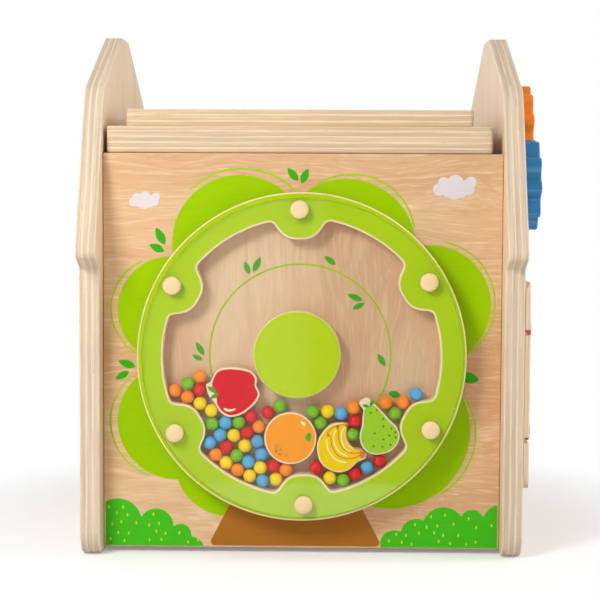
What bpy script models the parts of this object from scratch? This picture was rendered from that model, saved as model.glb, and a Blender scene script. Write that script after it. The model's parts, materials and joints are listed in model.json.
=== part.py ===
"""Wooden activity cube: a plywood case, a turning bead drum, side gears, two sliders and a lift-off lid.

Metres, +Z up, the front faces -Y. The origin is on the floor, under the middle of the bounding box.
"""

import math

import bmesh
import bpy
import numpy as np
from mathutils import Matrix, Vector
from mathutils.geometry import tessellate_polygon

MM = 0.001

# Clearances
SEAT_GAP = 0.3 * MM
TURN_GAP = 0.5 * MM

# Case
INNER_WIDTH = 300 * MM
BODY_DEPTH = 290 * MM
FRONT_THICKNESS = 12 * MM
FRONT_HEIGHT = 298.5 * MM
PANEL_LIFT = 4 * MM
SIDE_THICKNESS = 15 * MM
SIDE_OVERHANG = 20 * MM
FLARE_OVERHANG = 42 * MM
STEP_HEIGHT = 217 * MM
STEP_RISE = 9 * MM
SHOULDER_HEIGHT = 351 * MM
SHOULDER_INSET = 10 * MM
PEAK_HEIGHT = 400 * MM
PEAK_WIDTH = 38 * MM
FOOT_RADIUS = 18 * MM
STEP_RADIUS = 6 * MM
SHOULDER_RADIUS = 22 * MM
PEAK_RADIUS = 10 * MM
EDGE_ROUND = 1.5 * MM
PANEL_EDGE_ROUND = 0.8 * MM
FLOOR_THICKNESS = 9 * MM
FLOOR_DROP = 12 * MM
RAIL_WIDTH = 14 * MM
BATTEN_SIZE = 18 * MM
DOWEL_DIAMETER = 6 * MM
DOWEL_LENGTH = 36 * MM
DOWEL_LOW = 35 * MM
DOWEL_HIGH = 250 * MM

# Lid
LID_SIDE_PLAY = 5 * MM
LID_THICKNESS = 20 * MM
LID_SETBACK = 2.5 * MM
LID_SHIFT = -2.7 * MM
LID_CORNER_RADIUS = 3 * MM
PLATE_THICKNESS = 13 * MM
PLATE_INSET = 13.3 * MM
CLEAT_END_PLAY = 12 * MM
CLEAT_WIDTH = 14 * MM
CLEAT_DEPTH = 8 * MM
CLEAT_PLAY = 1.5 * MM

# Drum
DRUM_DROP = 1.9 * MM
DRUM_RADIUS = 122.3 * MM
DRUM_STANDOFF = 2.2 * MM
BACK_DISC_THICKNESS = 6 * MM
CHAMBER_DEPTH = 12 * MM
WINDOW_THICKNESS = 3 * MM
WINDOW_INSET = 3.2 * MM
WINDOW_SHIFT = (0.6 * MM, -0.8 * MM)
RING_OPENING_RADIUS = 103 * MM
LOBE_TIP_RADIUS = 87.4 * MM
LOBE_HALF_WIDTH = 20.5 * MM
LOBE_TIP_HALF_WIDTH = 10.5 * MM
LOBE_TIP_ROUND = 16 * MM
LOBE_CORNER_ROUND = 5 * MM
LOBE_COUNT = 6
LOBE_TURN = 1.05
KNOB_CIRCLE_RADIUS = 109.5 * MM
KNOB_DIAMETER = 13.4 * MM
KNOB_HEIGHT = 5 * MM
KNOB_BRIM = 2.25 * MM
KNOB_STEM_DIAMETER = 6 * MM
HUB_RADIUS = 32.4 * MM
HUB_SHIFT = (-3.3 * MM, 1.9 * MM)
HUB_RECESS_RADIUS = 12 * MM
HUB_RECESS_DEPTH = 8 * MM

# Axle through the front panel
AXLE_DIAMETER = 8 * MM
AXLE_HEAD_DIAMETER = 16 * MM
AXLE_HEAD_HEIGHT = 5 * MM
AXLE_HEAD_FLAT = 0.6
AXLE_TAIL = 3 * MM
SPACER_DIAMETER = 40 * MM
WASHER_DIAMETER = 22 * MM
WASHER_THICKNESS = 1.6 * MM
NUT_WIDTH = 13 * MM
NUT_HEIGHT = 6.5 * MM

# Fruit pieces and beads in the drum, placed from the drum's centre
FRUIT_THICKNESS = 8 * MM
ORANGE_RADIUS = 19.5 * MM
ORANGE_PLACE = (-8.1, -60.7)
APPLE_PLACE = (-49, -27)
BANANA_PLACE = (29.7, -67.7)
PEAR_PLACE = (58.5, -53.6)
APPLE_OUTLINE = [
    (-22, 5.5), (-19.5, 7.5), (-16.5, 12.5), (-13.5, 17), (-7.5, 19), (0.5, 19), (9, 17.5), (13.5, 15), (16, 10.5),
    (15.5, 5.5), (18, 0.5), (17.5, -3.5), (13.5, -9), (6.5, -15), (-1, -18), (-7, -17.5), (-12, -13.5), (-15, -8.5),
    (-17, -5.5), (-20, -2)]
BANANA_OUTLINE = [
    (4.5, 18.5), (-4, 18.5), (-10.5, 15.5), (-16.5, 7), (-18, -0.5), (-15.5, -10.5), (-9.5, -16), (-2, -18.5),
    (6, -16.5), (12.5, -10.5), (18, -8), (18.5, -4.5), (15, -1), (8.5, 0.5), (4.5, 5.5), (3.5, 11), (5, 16)]
PEAR_OUTLINE = [
    (-15.5, 19.5), (-11.5, 23), (-8, 23), (-6, 19.5), (-3.5, 18.5), (2, 13), (7.5, 7), (12.5, 2), (15, -4.5),
    (13, -11), (8.5, -16), (2, -18.5), (-3.5, -19), (-10, -16.5), (-14, -11), (-15, -4.5), (-13.5, 2), (-13, 8.5),
    (-12.5, 14.5)]
BEAD_DIAMETER = 10 * MM
BEAD_NECK_DIAMETER = 2 * MM
SETTLE_ROUNDS = 60
# Where each heap's beads come to rest, in millimetres from the drum's centre
BEAD_HEAPS = {
    "beads_left": [
        (-94, -26), (-84, -23), (-76, -16), (-86, -33), (-75, -27), (-77, -36), (-67, -41), (-67, -52), (-57, -52),
        (-62, -61), (-71, -66), (-47, -49), (-38, -44), (-25, -42), (-16, -37), (-31, -51), (-40, -56), (-51, -60),
        (-43, -66), (-33, -63), (-56, -68), (-64, -74), (-30, -73), (-48, -75), (-56, -80), (-39, -79), (-48, -85),
        (-30, -83), (-38, -90), (-29, -93), (-21, -86), (-19, -95), (-10, -86)],
    "beads_top": [(9, -42), (15, -50), (20, -41), (30, -42), (41, -40), (40, -50), (39, -61)],
    "beads_right": [(63, -34), (70, -42), (76, -34), (86, -29)],
    "beads_bottom": [(15, -86), (21, -94), (31, -92), (40, -88), (49, -83), (57, -78)]}

# Gears on the right side
GEAR_TEETH = 10
GEAR_PITCH_RADIUS = 33 * MM
GEAR_TOOTH_HEIGHT = 6 * MM
GEAR_MESH_PLAY = 0.8 * MM
GEAR_THICKNESS = 15 * MM
GEAR_STANDOFF = 2.7 * MM
GEAR_BLUE_PLACE = (-82 * MM, 280.5 * MM)
GEAR_LINE_ANGLE = 41.5
PIN_HEAD_DIAMETER = 16 * MM
PIN_HEAD_HEIGHT = 3 * MM
PIN_HEAD_SINK = 1 * MM
PIN_HEAD_BEVEL = 0.96 * MM
PIN_HEAD_FLAT = 0.85
PIN_DIAMETER = 8 * MM
PIN_THREAD_DIAMETER = 5 * MM
PIN_THREAD_LENGTH = 12 * MM
GEAR_WASHER_DIAMETER = 20 * MM

# Track board with two sliders on the right side
TRACK_HEIGHT = 154.5 * MM
TRACK_BOTTOM = 53 * MM
TRACK_THICKNESS = 4 * MM
TRACK_SETBACK = 2 * MM
TRACK_RADIUS = 8 * MM
SLOT_WIDTH = 4.4 * MM
SLOT_END_MARGIN = 37 * MM
SLOT_BACK_MARGIN = 30 * MM
SLOT_END_ROUNDNESS = 0.98
SLIDER_TRAVEL = 230 * MM
SLIDER_START = 55 * MM
FOOT_DIAMETER = 11 * MM
FOOT_HEIGHT = 3 * MM
STEM_DIAMETER = 3.6 * MM
BUTTON_DIAMETER = 16 * MM
BUTTON_HEIGHT = 6 * MM
BUTTON_EDGE = 1.8 * MM

# How finely round shapes are cut
WHEEL_SEGMENTS = 84
DISC_SEGMENTS = 48
SMALL_SEGMENTS = 16
TOOTH_STEPS = 6
BEAD_SIDES = 8
BEAD_ROWS = 5
RIM_STEPS = 9
ARC_STEP = 15

# Worked-out places
GEAR_REACH = GEAR_STANDOFF + GEAR_THICKNESS
CASE_X = -GEAR_REACH / 2
FRONT_Y = -BODY_DEPTH / 2
INNER_FRONT_Y = FRONT_Y + FRONT_THICKNESS
SIDE_INNER_X = INNER_WIDTH / 2 + SEAT_GAP
SIDE_OUTER_X = SIDE_INNER_X + SIDE_THICKNESS
RIM_Z = PANEL_LIFT + FRONT_HEIGHT
LID_Z = RIM_Z + SEAT_GAP
LID_WIDTH = INNER_WIDTH - 2 * LID_SIDE_PLAY
CLEAT_LENGTH = INNER_WIDTH - 2 * (BATTEN_SIZE + CLEAT_END_PLAY)
DRUM_Z = PANEL_LIFT + FRONT_HEIGHT / 2 - DRUM_DROP
FLOOR_Z = PANEL_LIFT + FLOOR_DROP
LOWER_FRONT_Y = FRONT_Y - SIDE_OVERHANG
SLOT_HEIGHTS = (TRACK_BOTTOM + SLOT_END_MARGIN, TRACK_BOTTOM + TRACK_HEIGHT - SLOT_END_MARGIN)
TRACK_FRONT_Y = LOWER_FRONT_Y + TRACK_SETBACK
TRACK_X = SIDE_OUTER_X + SEAT_GAP
SLIDER_REST_Y = LOWER_FRONT_Y + SLIDER_START
GROOVE_WIDTH = FOOT_DIAMETER + 2 * TURN_GAP
GROOVE_DEPTH = FOOT_HEIGHT + 2 * TURN_GAP


def clear_scene():
    """Remove every object that the file starts with."""
    for item in list(bpy.data.objects):
        bpy.data.objects.remove(item, do_unlink=True)


def finish(name, colour, roughness=0.5, metallic=0.0, alpha=1.0):
    """One Principled material."""
    material = bpy.data.materials.new(name)
    material.use_nodes = True
    shader = material.node_tree.nodes["Principled BSDF"]
    shader.inputs["Base Color"].default_value = (*colour, 1.0)
    shader.inputs["Roughness"].default_value = roughness
    shader.inputs["Metallic"].default_value = metallic
    shader.inputs["Alpha"].default_value = alpha
    return material


def empty(name, place, parent=None):
    """A bare axis that carries pieces."""
    axis = bpy.data.objects.new(name, None)
    axis.location = place
    axis.parent = parent
    bpy.context.collection.objects.link(axis)
    return axis


def add_object(name, bm, material, parent, place=(0, 0, 0)):
    """Turn a bmesh into a named object with outward faces and smooth round walls."""
    bmesh.ops.recalc_face_normals(bm, faces=bm.faces[:])
    if bm.calc_volume(signed=True) < 0:
        bmesh.ops.reverse_faces(bm, faces=bm.faces[:])
    mesh = bpy.data.meshes.new(name)
    bm.to_mesh(mesh)
    bm.free()
    mesh.shade_smooth()
    mesh.set_sharp_from_angle(angle=math.radians(35))
    mesh.materials.append(material)
    item = bpy.data.objects.new(name, mesh)
    item.location = place
    item.parent = parent
    bpy.context.collection.objects.link(item)
    return item


def cut(target, cutter):
    """Take the cutter's shape out of the target."""
    cutter.hide_render = True
    cutter.display_type = "WIRE"
    modifier = target.modifiers.new(cutter.name, "BOOLEAN")
    modifier.operation = "DIFFERENCE"
    modifier.solver = "EXACT"
    modifier.object = cutter


def rounded_outline(corners):
    """A closed outline from (a, b, radius) corners, each rounded by an arc of its radius."""
    points = []
    count = len(corners)
    for index, (a, b, radius) in enumerate(corners):
        here = Vector((a, b))
        if radius <= 0:
            points.append((a, b))
            continue
        before = (Vector(corners[index - 1][:2]) - here).normalized()
        after = (Vector(corners[(index + 1) % count][:2]) - here).normalized()
        half = before.angle(after) / 2
        reach = radius / math.tan(half)
        centre = here + (before + after).normalized() * (radius / math.sin(half))
        start = here + before * reach - centre
        end = here + after * reach - centre
        sweep = math.pi - 2 * half
        side = 1 if start.cross(end) > 0 else -1
        steps = max(2, math.ceil(math.degrees(sweep) / ARC_STEP))
        for step in range(steps + 1):
            angle = side * sweep * step / steps
            spot = centre + Matrix.Rotation(angle, 2) @ start
            points.append((spot.x, spot.y))
    return points


def rectangle(width, height, radius=0.0):
    """The corners of a centred rectangle."""
    a, b = width / 2, height / 2
    return [(-a, -b, radius), (a, -b, radius), (a, b, radius), (-a, b, radius)]


def circle(radius, segments, centre=(0, 0)):
    """Points round a circle."""
    return [(centre[0] + radius * math.cos(math.tau * step / segments),
             centre[1] + radius * math.sin(math.tau * step / segments)) for step in range(segments)]


def smooth_loop(points, steps=3):
    """A closed smooth curve through the points (Catmull-Rom)."""
    loop = []
    count = len(points)
    for index in range(count):
        p0, p1, p2, p3 = (np.array(points[(index + shift) % count]) for shift in (-1, 0, 1, 2))
        for step in range(steps):
            t = step / steps
            spot = 0.5 * (2 * p1 + (p2 - p0) * t + (2 * p0 - 5 * p1 + 4 * p2 - p3) * t ** 2
                          + (3 * p1 - p0 - 3 * p2 + p3) * t ** 3)
            loop.append((float(spot[0]), float(spot[1])))
    return loop


def inset_loop(points, amount):
    """Move a closed outline's points inwards by the amount, along their corners' middle lines."""
    flat = np.array(points)
    before = flat - np.roll(flat, 1, axis=0)
    after = np.roll(flat, -1, axis=0) - flat
    before /= np.linalg.norm(before, axis=1, keepdims=True)
    after /= np.linalg.norm(after, axis=1, keepdims=True)
    area = np.sum(flat[:, 0] * np.roll(flat[:, 1], -1) - np.roll(flat[:, 0], -1) * flat[:, 1])
    middle = before + after
    middle /= np.linalg.norm(middle, axis=1, keepdims=True)
    inward = np.stack([-middle[:, 1], middle[:, 0]], axis=1) * np.sign(area)
    stretch = 1 / np.maximum(0.5, np.sum(middle * after, axis=1))
    return [tuple(spot) for spot in flat + inward * amount * stretch[:, None]]


def to_space(axis, a, b, along):
    """Put an outline's point on the plane across the axis."""
    if axis == "X":
        return (along, a, b)
    if axis == "Y":
        return (a, along, b)
    return (a, b, along)


def prism(name, outline, start, end, axis, material, parent, holes=(), edge=0.0):
    """A plate: the outline and its holes, carried from start to end along the axis, with rounded edges."""
    levels = [(0.0, start), (0.0, end)]
    if edge > 0:
        tight = edge * (1 - math.sqrt(0.5))
        sign = 1 if end > start else -1
        levels = [(edge, start), (tight, start + sign * tight), (0.0, start + sign * edge),
                  (0.0, end - sign * edge), (tight, end - sign * tight), (edge, end)]
    bm = bmesh.new()
    rings = [[bm.verts.new(to_space(axis, a, b, along)) for a, b in
              (inset_loop(outline, inset) if inset else outline)] for inset, along in levels]
    for low, high in zip(rings, rings[1:]):
        join_rings(bm, low, high)
    hole_ends = []
    for hole in holes:
        low, high = ([bm.verts.new(to_space(axis, a, b, along)) for a, b in hole] for along in (start, end))
        join_rings(bm, low, high)
        hole_ends.append((low, high))
    for side, rim in ((0, rings[0]), (1, rings[-1])):
        loops = [rim] + [ends[side] for ends in hole_ends]
        spots = [vert for loop in loops for vert in loop]
        for triangle in tessellate_polygon([[vert.co / MM for vert in loop] for loop in loops]):
            bm.faces.new([spots[index] for index in triangle])
    return add_object(name, bm, material, parent)


def join_rings(bm, low, high):
    """Close the wall between two rings of the same count."""
    count = len(low)
    for index in range(count):
        after = (index + 1) % count
        bm.faces.new((low[index], low[after], high[after], high[index]))


def turned(name, profile, segments, axis, material, parent, place=(0, 0, 0), bore=False):
    """Turn a (radius, height) profile about the axis. A bored profile is a closed loop."""
    bm = bmesh.new()
    rings = []
    for radius, height in profile:
        if radius < 1e-9:
            rings.append([bm.verts.new(to_space(axis, 0, 0, height))])
        else:
            rings.append([bm.verts.new(to_space(axis, a, b, height)) for a, b in circle(radius, segments)])
    pairs = list(zip(rings, rings[1:]))
    if bore:
        pairs.append((rings[-1], rings[0]))
    for low, high in pairs:
        if len(low) == 1 or len(high) == 1:
            tip, ring = (low[0], high) if len(low) == 1 else (high[0], low)
            for index in range(segments):
                bm.faces.new((tip, ring[index], ring[(index + 1) % segments]))
        else:
            join_rings(bm, low, high)
    return add_object(name, bm, material, parent, place)


def side_outline():
    """The side panel's outline in depth and height: a foot, a stepped flare and a sloping peak."""
    half_foot = BODY_DEPTH / 2 + SIDE_OVERHANG
    half_flare = BODY_DEPTH / 2 + FLARE_OVERHANG
    half_shoulder = BODY_DEPTH / 2 - SHOULDER_INSET
    half = [(half_foot, 0, FOOT_RADIUS), (half_foot, STEP_HEIGHT, STEP_RADIUS),
            (half_flare, STEP_HEIGHT + STEP_RISE, STEP_RADIUS), (half_shoulder, SHOULDER_HEIGHT, SHOULDER_RADIUS),
            (PEAK_WIDTH / 2, PEAK_HEIGHT, PEAK_RADIUS)]
    mirrored = [(-a, b, radius) for a, b, radius in reversed(half)]
    return rounded_outline(half + mirrored)


def gear_places():
    """Centre (Y, Z) of the blue gear, and of the orange one a mesh distance up its line."""
    distance = 2 * GEAR_PITCH_RADIUS + GEAR_MESH_PLAY
    angle = math.radians(GEAR_LINE_ANGLE)
    blue = Vector(GEAR_BLUE_PLACE)
    return blue, blue + distance * Vector((math.cos(angle), math.sin(angle)))


def build_sides(parent, finishes):
    """Two profiled side panels, with the holes for dowels, gear pins and slider feet."""
    outline = side_outline()
    dowels = dowel_places()
    for name, sign in (("side_panel_left", -1), ("side_panel_right", 1)):
        holes = [circle(DOWEL_DIAMETER / 2 + SEAT_GAP, SMALL_SEGMENTS, spot) for spot in dowels]
        if sign > 0:
            hole_radius = PIN_THREAD_DIAMETER / 2 + SEAT_GAP
            holes += [circle(hole_radius, SMALL_SEGMENTS, tuple(spot)) for spot in gear_places()]
        panel = prism(name, outline, sign * SIDE_INNER_X, sign * SIDE_OUTER_X, "X", finishes["plywood"], parent,
                      holes, EDGE_ROUND)
        if sign > 0:
            for index, height in enumerate(SLOT_HEIGHTS):
                cut(panel, groove_cutter(f"groove_cutter_{index + 1}", height, parent, finishes["plywood"]))


def groove_cutter(name, height, parent, material):
    """The blind groove that a slider's foot runs in."""
    reach = SLIDER_TRAVEL / 2 + GROOVE_WIDTH / 2
    middle = SLIDER_REST_Y + SLIDER_TRAVEL / 2
    radius = GROOVE_WIDTH / 2 - SEAT_GAP
    corners = [(a + middle, b + height, radius) for a, b, _ in rectangle(2 * reach, GROOVE_WIDTH)]
    return prism(name, rounded_outline(corners), SIDE_OUTER_X - GROOVE_DEPTH, SIDE_OUTER_X + GROOVE_DEPTH, "X",
                 material, parent)


def dowel_places():
    """Depth and height of the dowels that hold each end of the front and back panels."""
    depth = BODY_DEPTH / 2 - FRONT_THICKNESS / 2
    return [(side * depth, height) for side in (-1, 1) for height in (DOWEL_LOW, DOWEL_HIGH)]


def build_panels(parent, finishes):
    """The front and back panels, drilled for their dowels, and the front one for the drum's axle."""
    width, height = INNER_WIDTH, FRONT_HEIGHT
    middle = PANEL_LIFT + height / 2
    corners = [(a, b + middle, 0) for a, b, _ in rectangle(width, height)]
    outline = rounded_outline(corners)
    bore = circle(AXLE_DIAMETER / 2 + SEAT_GAP, SMALL_SEGMENTS, (0, DRUM_Z))
    front = prism("front_panel", outline, FRONT_Y, INNER_FRONT_Y, "Y", finishes["panel"], parent, [bore],
                  PANEL_EDGE_ROUND)
    back = prism("back_panel", outline, -FRONT_Y, -INNER_FRONT_Y, "Y", finishes["panel"], parent, (),
                 PANEL_EDGE_ROUND)
    for panel, sign in ((front, -1), (back, 1)):
        for place, (depth, level) in enumerate(dowel_places()):
            if depth * sign < 0:
                continue
            for side, end in (("left", -1), ("right", 1)):
                radius = DOWEL_DIAMETER / 2 + SEAT_GAP
                reach = DOWEL_LENGTH - SIDE_THICKNESS + SEAT_GAP
                start = end * (INNER_WIDTH / 2 - reach)
                stop = end * (INNER_WIDTH / 2 + reach)
                cutter = prism(f"dowel_cutter_{side}_{place}", circle(radius, SMALL_SEGMENTS, (depth, level)),
                               start, stop, "X", finishes["panel"], parent)
                cut(panel, cutter)


def build_dowels(parent, finishes):
    """Glued dowels through the side panels into the ends of the front and back panels."""
    for side, end in (("left", -1), ("right", 1)):
        for place, (depth, level) in enumerate(dowel_places()):
            outer = end * (SIDE_OUTER_X - SEAT_GAP)
            prism(f"panel_dowel_{side}_{place + 1}", circle(DOWEL_DIAMETER / 2, SMALL_SEGMENTS, (depth, level)),
                  outer, outer - end * DOWEL_LENGTH, "X", finishes["dowel"], parent)


def build_inside(parent, finishes):
    """The floor on its rails, and a batten glued in each corner."""
    depth = BODY_DEPTH - 2 * FRONT_THICKNESS - 2 * SEAT_GAP
    floor_top = FLOOR_Z + FLOOR_THICKNESS
    prism("floor_panel", rounded_outline(rectangle(INNER_WIDTH, depth)), FLOOR_Z, floor_top, "Z",
          finishes["plywood"], parent)
    for name, sign in (("floor_rail_front", -1), ("floor_rail_back", 1)):
        middle = sign * (depth - RAIL_WIDTH) / 2
        outline = rounded_outline([(a, b + middle, 0) for a, b, _ in rectangle(INNER_WIDTH, RAIL_WIDTH)])
        prism(name, outline, PANEL_LIFT, FLOOR_Z - SEAT_GAP, "Z", finishes["dowel"], parent)
    batten_top = RIM_Z - CLEAT_DEPTH - CLEAT_PLAY
    reach_x = (INNER_WIDTH - BATTEN_SIZE) / 2
    reach_y = (depth - BATTEN_SIZE) / 2
    for name, side, end in (("front_left", -1, -1), ("front_right", 1, -1), ("back_left", -1, 1),
                            ("back_right", 1, 1)):
        outline = rounded_outline([(a + side * reach_x, b + end * reach_y, 0)
                                   for a, b, _ in rectangle(BATTEN_SIZE, BATTEN_SIZE)])
        prism(f"corner_batten_{name}", outline, floor_top + SEAT_GAP, batten_top, "Z", finishes["dowel"], parent)


def build_lid(parent, finishes):
    """The lift-off lid: a thick board on the rim, a plate on it, and two cleats that keep it in place."""
    lid = empty("lid_axis", (LID_SHIFT, 0, LID_Z), parent)
    depth = BODY_DEPTH - 2 * LID_SETBACK
    board_top = LID_THICKNESS
    prism("lid_board", rounded_outline(rectangle(LID_WIDTH, depth, LID_CORNER_RADIUS)), 0, board_top, "Z",
          finishes["plywood"], lid, (), EDGE_ROUND)
    plate = rectangle(LID_WIDTH - 2 * PLATE_INSET, depth - 2 * PLATE_INSET, LID_CORNER_RADIUS)
    prism("lid_plate", rounded_outline(plate), board_top + SEAT_GAP, board_top + SEAT_GAP + PLATE_THICKNESS, "Z",
          finishes["plywood"], lid, (), EDGE_ROUND)
    middle = -INNER_FRONT_Y - CLEAT_PLAY - CLEAT_WIDTH / 2
    for name, sign in (("lid_cleat_front", -1), ("lid_cleat_back", 1)):
        outline = rounded_outline([(a, b + sign * middle, 0) for a, b, _ in rectangle(CLEAT_LENGTH, CLEAT_WIDTH)])
        prism(name, outline, -SEAT_GAP - CLEAT_DEPTH, -SEAT_GAP, "Z", finishes["dowel"], lid)


def ring_opening():
    """The ring's window: a circle with round lobes that reach inwards at the knobs."""
    corners = []
    half_angle = math.asin(LOBE_HALF_WIDTH / RING_OPENING_RADIUS)
    pitch = math.tau / LOBE_COUNT
    for lobe in range(LOBE_COUNT):
        middle = math.pi / 2 + math.radians(LOBE_TURN) + pitch * lobe
        along = Vector((math.cos(middle), math.sin(middle)))
        across = Vector((-along.y, along.x))
        mouth = RING_OPENING_RADIUS * math.cos(half_angle)
        for side, out, radius in ((-LOBE_HALF_WIDTH, mouth, LOBE_CORNER_ROUND),
                                  (-LOBE_TIP_HALF_WIDTH, LOBE_TIP_RADIUS, LOBE_TIP_ROUND),
                                  (LOBE_TIP_HALF_WIDTH, LOBE_TIP_RADIUS, LOBE_TIP_ROUND),
                                  (LOBE_HALF_WIDTH, mouth, LOBE_CORNER_ROUND)):
            spot = along * out + across * side
            corners.append((spot.x, spot.y, radius))
        sweep = pitch - 2 * half_angle
        for step in range(1, RIM_STEPS):
            angle = middle + half_angle + sweep * step / RIM_STEPS
            corners.append((RING_OPENING_RADIUS * math.cos(angle), RING_OPENING_RADIUS * math.sin(angle), 0))
    return rounded_outline(corners)


def knob_places():
    """Centres of the knobs on the drum's face."""
    start = math.pi / 2 + math.radians(LOBE_TURN)
    angles = [start + math.tau * step / LOBE_COUNT for step in range(LOBE_COUNT)]
    return [(KNOB_CIRCLE_RADIUS * math.cos(angle), KNOB_CIRCLE_RADIUS * math.sin(angle)) for angle in angles]


def drum_levels():
    """How far out of the front panel each layer of the drum starts and ends."""
    back = DRUM_STANDOFF + 2 * SEAT_GAP
    ring = back + BACK_DISC_THICKNESS + SEAT_GAP
    window = ring + CHAMBER_DEPTH + SEAT_GAP
    knob = window + WINDOW_THICKNESS + SEAT_GAP
    return {"back": back, "ring": ring, "window": window, "knob": knob}


def build_drum(parent, finishes):
    """The drum that turns on the front panel: back disc, lobed ring, hub disc, clear window and knobs."""
    drum = empty("drum_axis", (0, FRONT_Y, DRUM_Z), parent)
    level = drum_levels()
    stem_holes = [circle(KNOB_STEM_DIAMETER / 2 + SEAT_GAP, SMALL_SEGMENTS, spot) for spot in knob_places()]
    bore = circle(AXLE_DIAMETER / 2 + TURN_GAP, SMALL_SEGMENTS)
    prism("drum_back_disc", circle(DRUM_RADIUS, WHEEL_SEGMENTS), -level["back"],
          -level["back"] - BACK_DISC_THICKNESS, "Y", finishes["back_disc"], drum, [bore] + stem_holes)
    prism("drum_ring", circle(DRUM_RADIUS, WHEEL_SEGMENTS), -level["ring"], -level["ring"] - CHAMBER_DEPTH, "Y",
          finishes["ring"], drum, [ring_opening()] + stem_holes)
    prism("drum_window", circle(DRUM_RADIUS - WINDOW_INSET, WHEEL_SEGMENTS, WINDOW_SHIFT), -level["window"],
          -level["window"] - WINDOW_THICKNESS, "Y", finishes["acrylic"], drum, stem_holes)
    hub_depth = CHAMBER_DEPTH - SEAT_GAP
    recess_floor = -level["ring"] - HUB_RECESS_DEPTH
    hub = prism("drum_hub_disc", circle(HUB_RADIUS, DISC_SEGMENTS, HUB_SHIFT), -level["ring"],
                -level["ring"] - hub_depth, "Y", finishes["ring"], drum)
    cut(hub, prism("hub_recess_cutter", circle(HUB_RECESS_RADIUS, DISC_SEGMENTS // 2), HUB_RECESS_DEPTH,
                   recess_floor, "Y", finishes["ring"], drum))
    build_knobs(drum, level, finishes)
    build_fruit(drum, level, finishes)
    build_beads(drum, level, finishes)


def build_knobs(drum, level, finishes):
    """Domed wooden pegs that pin the window and the ring to the back disc."""
    foot = level["back"] + SEAT_GAP
    seat = level["knob"]
    stem = KNOB_STEM_DIAMETER / 2
    head = KNOB_DIAMETER / 2
    dome = [(head * math.cos(angle), -(seat + KNOB_BRIM + (KNOB_HEIGHT - KNOB_BRIM) * math.sin(angle)))
            for angle in (0, math.pi / 8, math.pi / 4, 3 * math.pi / 8)]
    profile = [(0, -foot), (stem, -foot), (stem, -seat), (head, -seat), *dome, (0, -(seat + KNOB_HEIGHT))]
    for index, (a, b) in enumerate(knob_places()):
        turned(f"drum_knob_{index + 1}", profile, SMALL_SEGMENTS, "Y", finishes["knob"], drum, (a, 0, b))


def fruit_outlines():
    """Each fruit piece's outline, from the drum's centre."""
    shapes = {"fruit_orange": (circle(ORANGE_RADIUS / MM, DISC_SEGMENTS // 2), ORANGE_PLACE),
              "fruit_apple": (smooth_loop(APPLE_OUTLINE), APPLE_PLACE),
              "fruit_bananas": (smooth_loop(BANANA_OUTLINE), BANANA_PLACE),
              "fruit_pear": (smooth_loop(PEAR_OUTLINE), PEAR_PLACE)}
    return {name: [((a + place[0]) * MM, (b + place[1]) * MM) for a, b in outline]
            for name, (outline, place) in shapes.items()}


def build_fruit(drum, level, finishes):
    """Four flat fruit pieces that lie in the chamber."""
    middle = level["ring"] + CHAMBER_DEPTH / 2
    for name, outline in fruit_outlines().items():
        prism(name, outline, -(middle - FRUIT_THICKNESS / 2), -(middle + FRUIT_THICKNESS / 2), "Y", finishes[name],
              drum)


def nearest_on_loop(spots, outline):
    """For each spot, the nearest point of a closed outline."""
    start = np.array(outline)
    run = np.roll(start, -1, axis=0) - start
    offset = spots[:, None, :] - start[None]
    share = np.clip(np.sum(offset * run, axis=2) / np.sum(run * run, axis=1), 0, 1)
    nearest = start[None] + share[:, :, None] * run[None]
    best = np.argmin(np.linalg.norm(nearest - spots[:, None, :], axis=2), axis=1)
    return nearest[np.arange(len(spots)), best]


def inside_loop(spots, outline):
    """Which spots lie inside a closed outline."""
    start = np.array(outline)
    end = np.roll(start, -1, axis=0)
    x, y = spots[:, :1], spots[:, 1:]
    crosses = (start[:, 1] > y) != (end[:, 1] > y)
    slope = (end[:, 0] - start[:, 0]) / np.where(end[:, 1] == start[:, 1], 1e-9, end[:, 1] - start[:, 1])
    return np.sum(crosses & (x < start[:, 0] + (y - start[:, 1]) * slope), axis=1) % 2 == 1


def settle(spots):
    """Push beads that start too near each other, a fruit piece, the hub or the ring until they only touch."""
    radius = BEAD_DIAMETER / 2
    walls = [(outline, False) for outline in fruit_outlines().values()]
    walls.append((circle(HUB_RADIUS, DISC_SEGMENTS, HUB_SHIFT), False))
    walls.append((ring_opening(), True))
    spots = spots.copy()
    for _ in range(SETTLE_ROUNDS):
        apart = spots[:, None, :] - spots[None]
        distance = np.linalg.norm(apart, axis=2) + np.eye(len(spots))
        near = np.clip(BEAD_DIAMETER + SEAT_GAP / 2 - distance, 0, None)
        np.fill_diagonal(near, 0)
        spots += np.sum(apart / distance[:, :, None] * near[:, :, None], axis=1) / 2
        for outline, keep_inside in walls:
            nearest = nearest_on_loop(spots, outline)
            away = spots - nearest
            gap = np.linalg.norm(away, axis=1, keepdims=True) + 1e-9
            wrong_side = inside_loop(spots, outline) != keep_inside
            away = np.where(wrong_side[:, None], -away, away) / gap
            signed = np.where(wrong_side[:, None], -gap, gap)
            spots += away * np.clip(radius + SEAT_GAP - signed, 0, None)
    return spots


def build_beads(drum, level, finishes):
    """The loose beads, each heap joined by thin necks at the points where its beads touch."""
    starts = np.array([spot for heap in BEAD_HEAPS.values() for spot in heap]) * MM
    rest = settle(starts)
    middle = -(level["ring"] + CHAMBER_DEPTH / 2)
    first = 0
    for name, heap in BEAD_HEAPS.items():
        spots = rest[first:first + len(heap)]
        first += len(heap)
        build_heap(name, spots, middle, drum, finishes[name])


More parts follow.
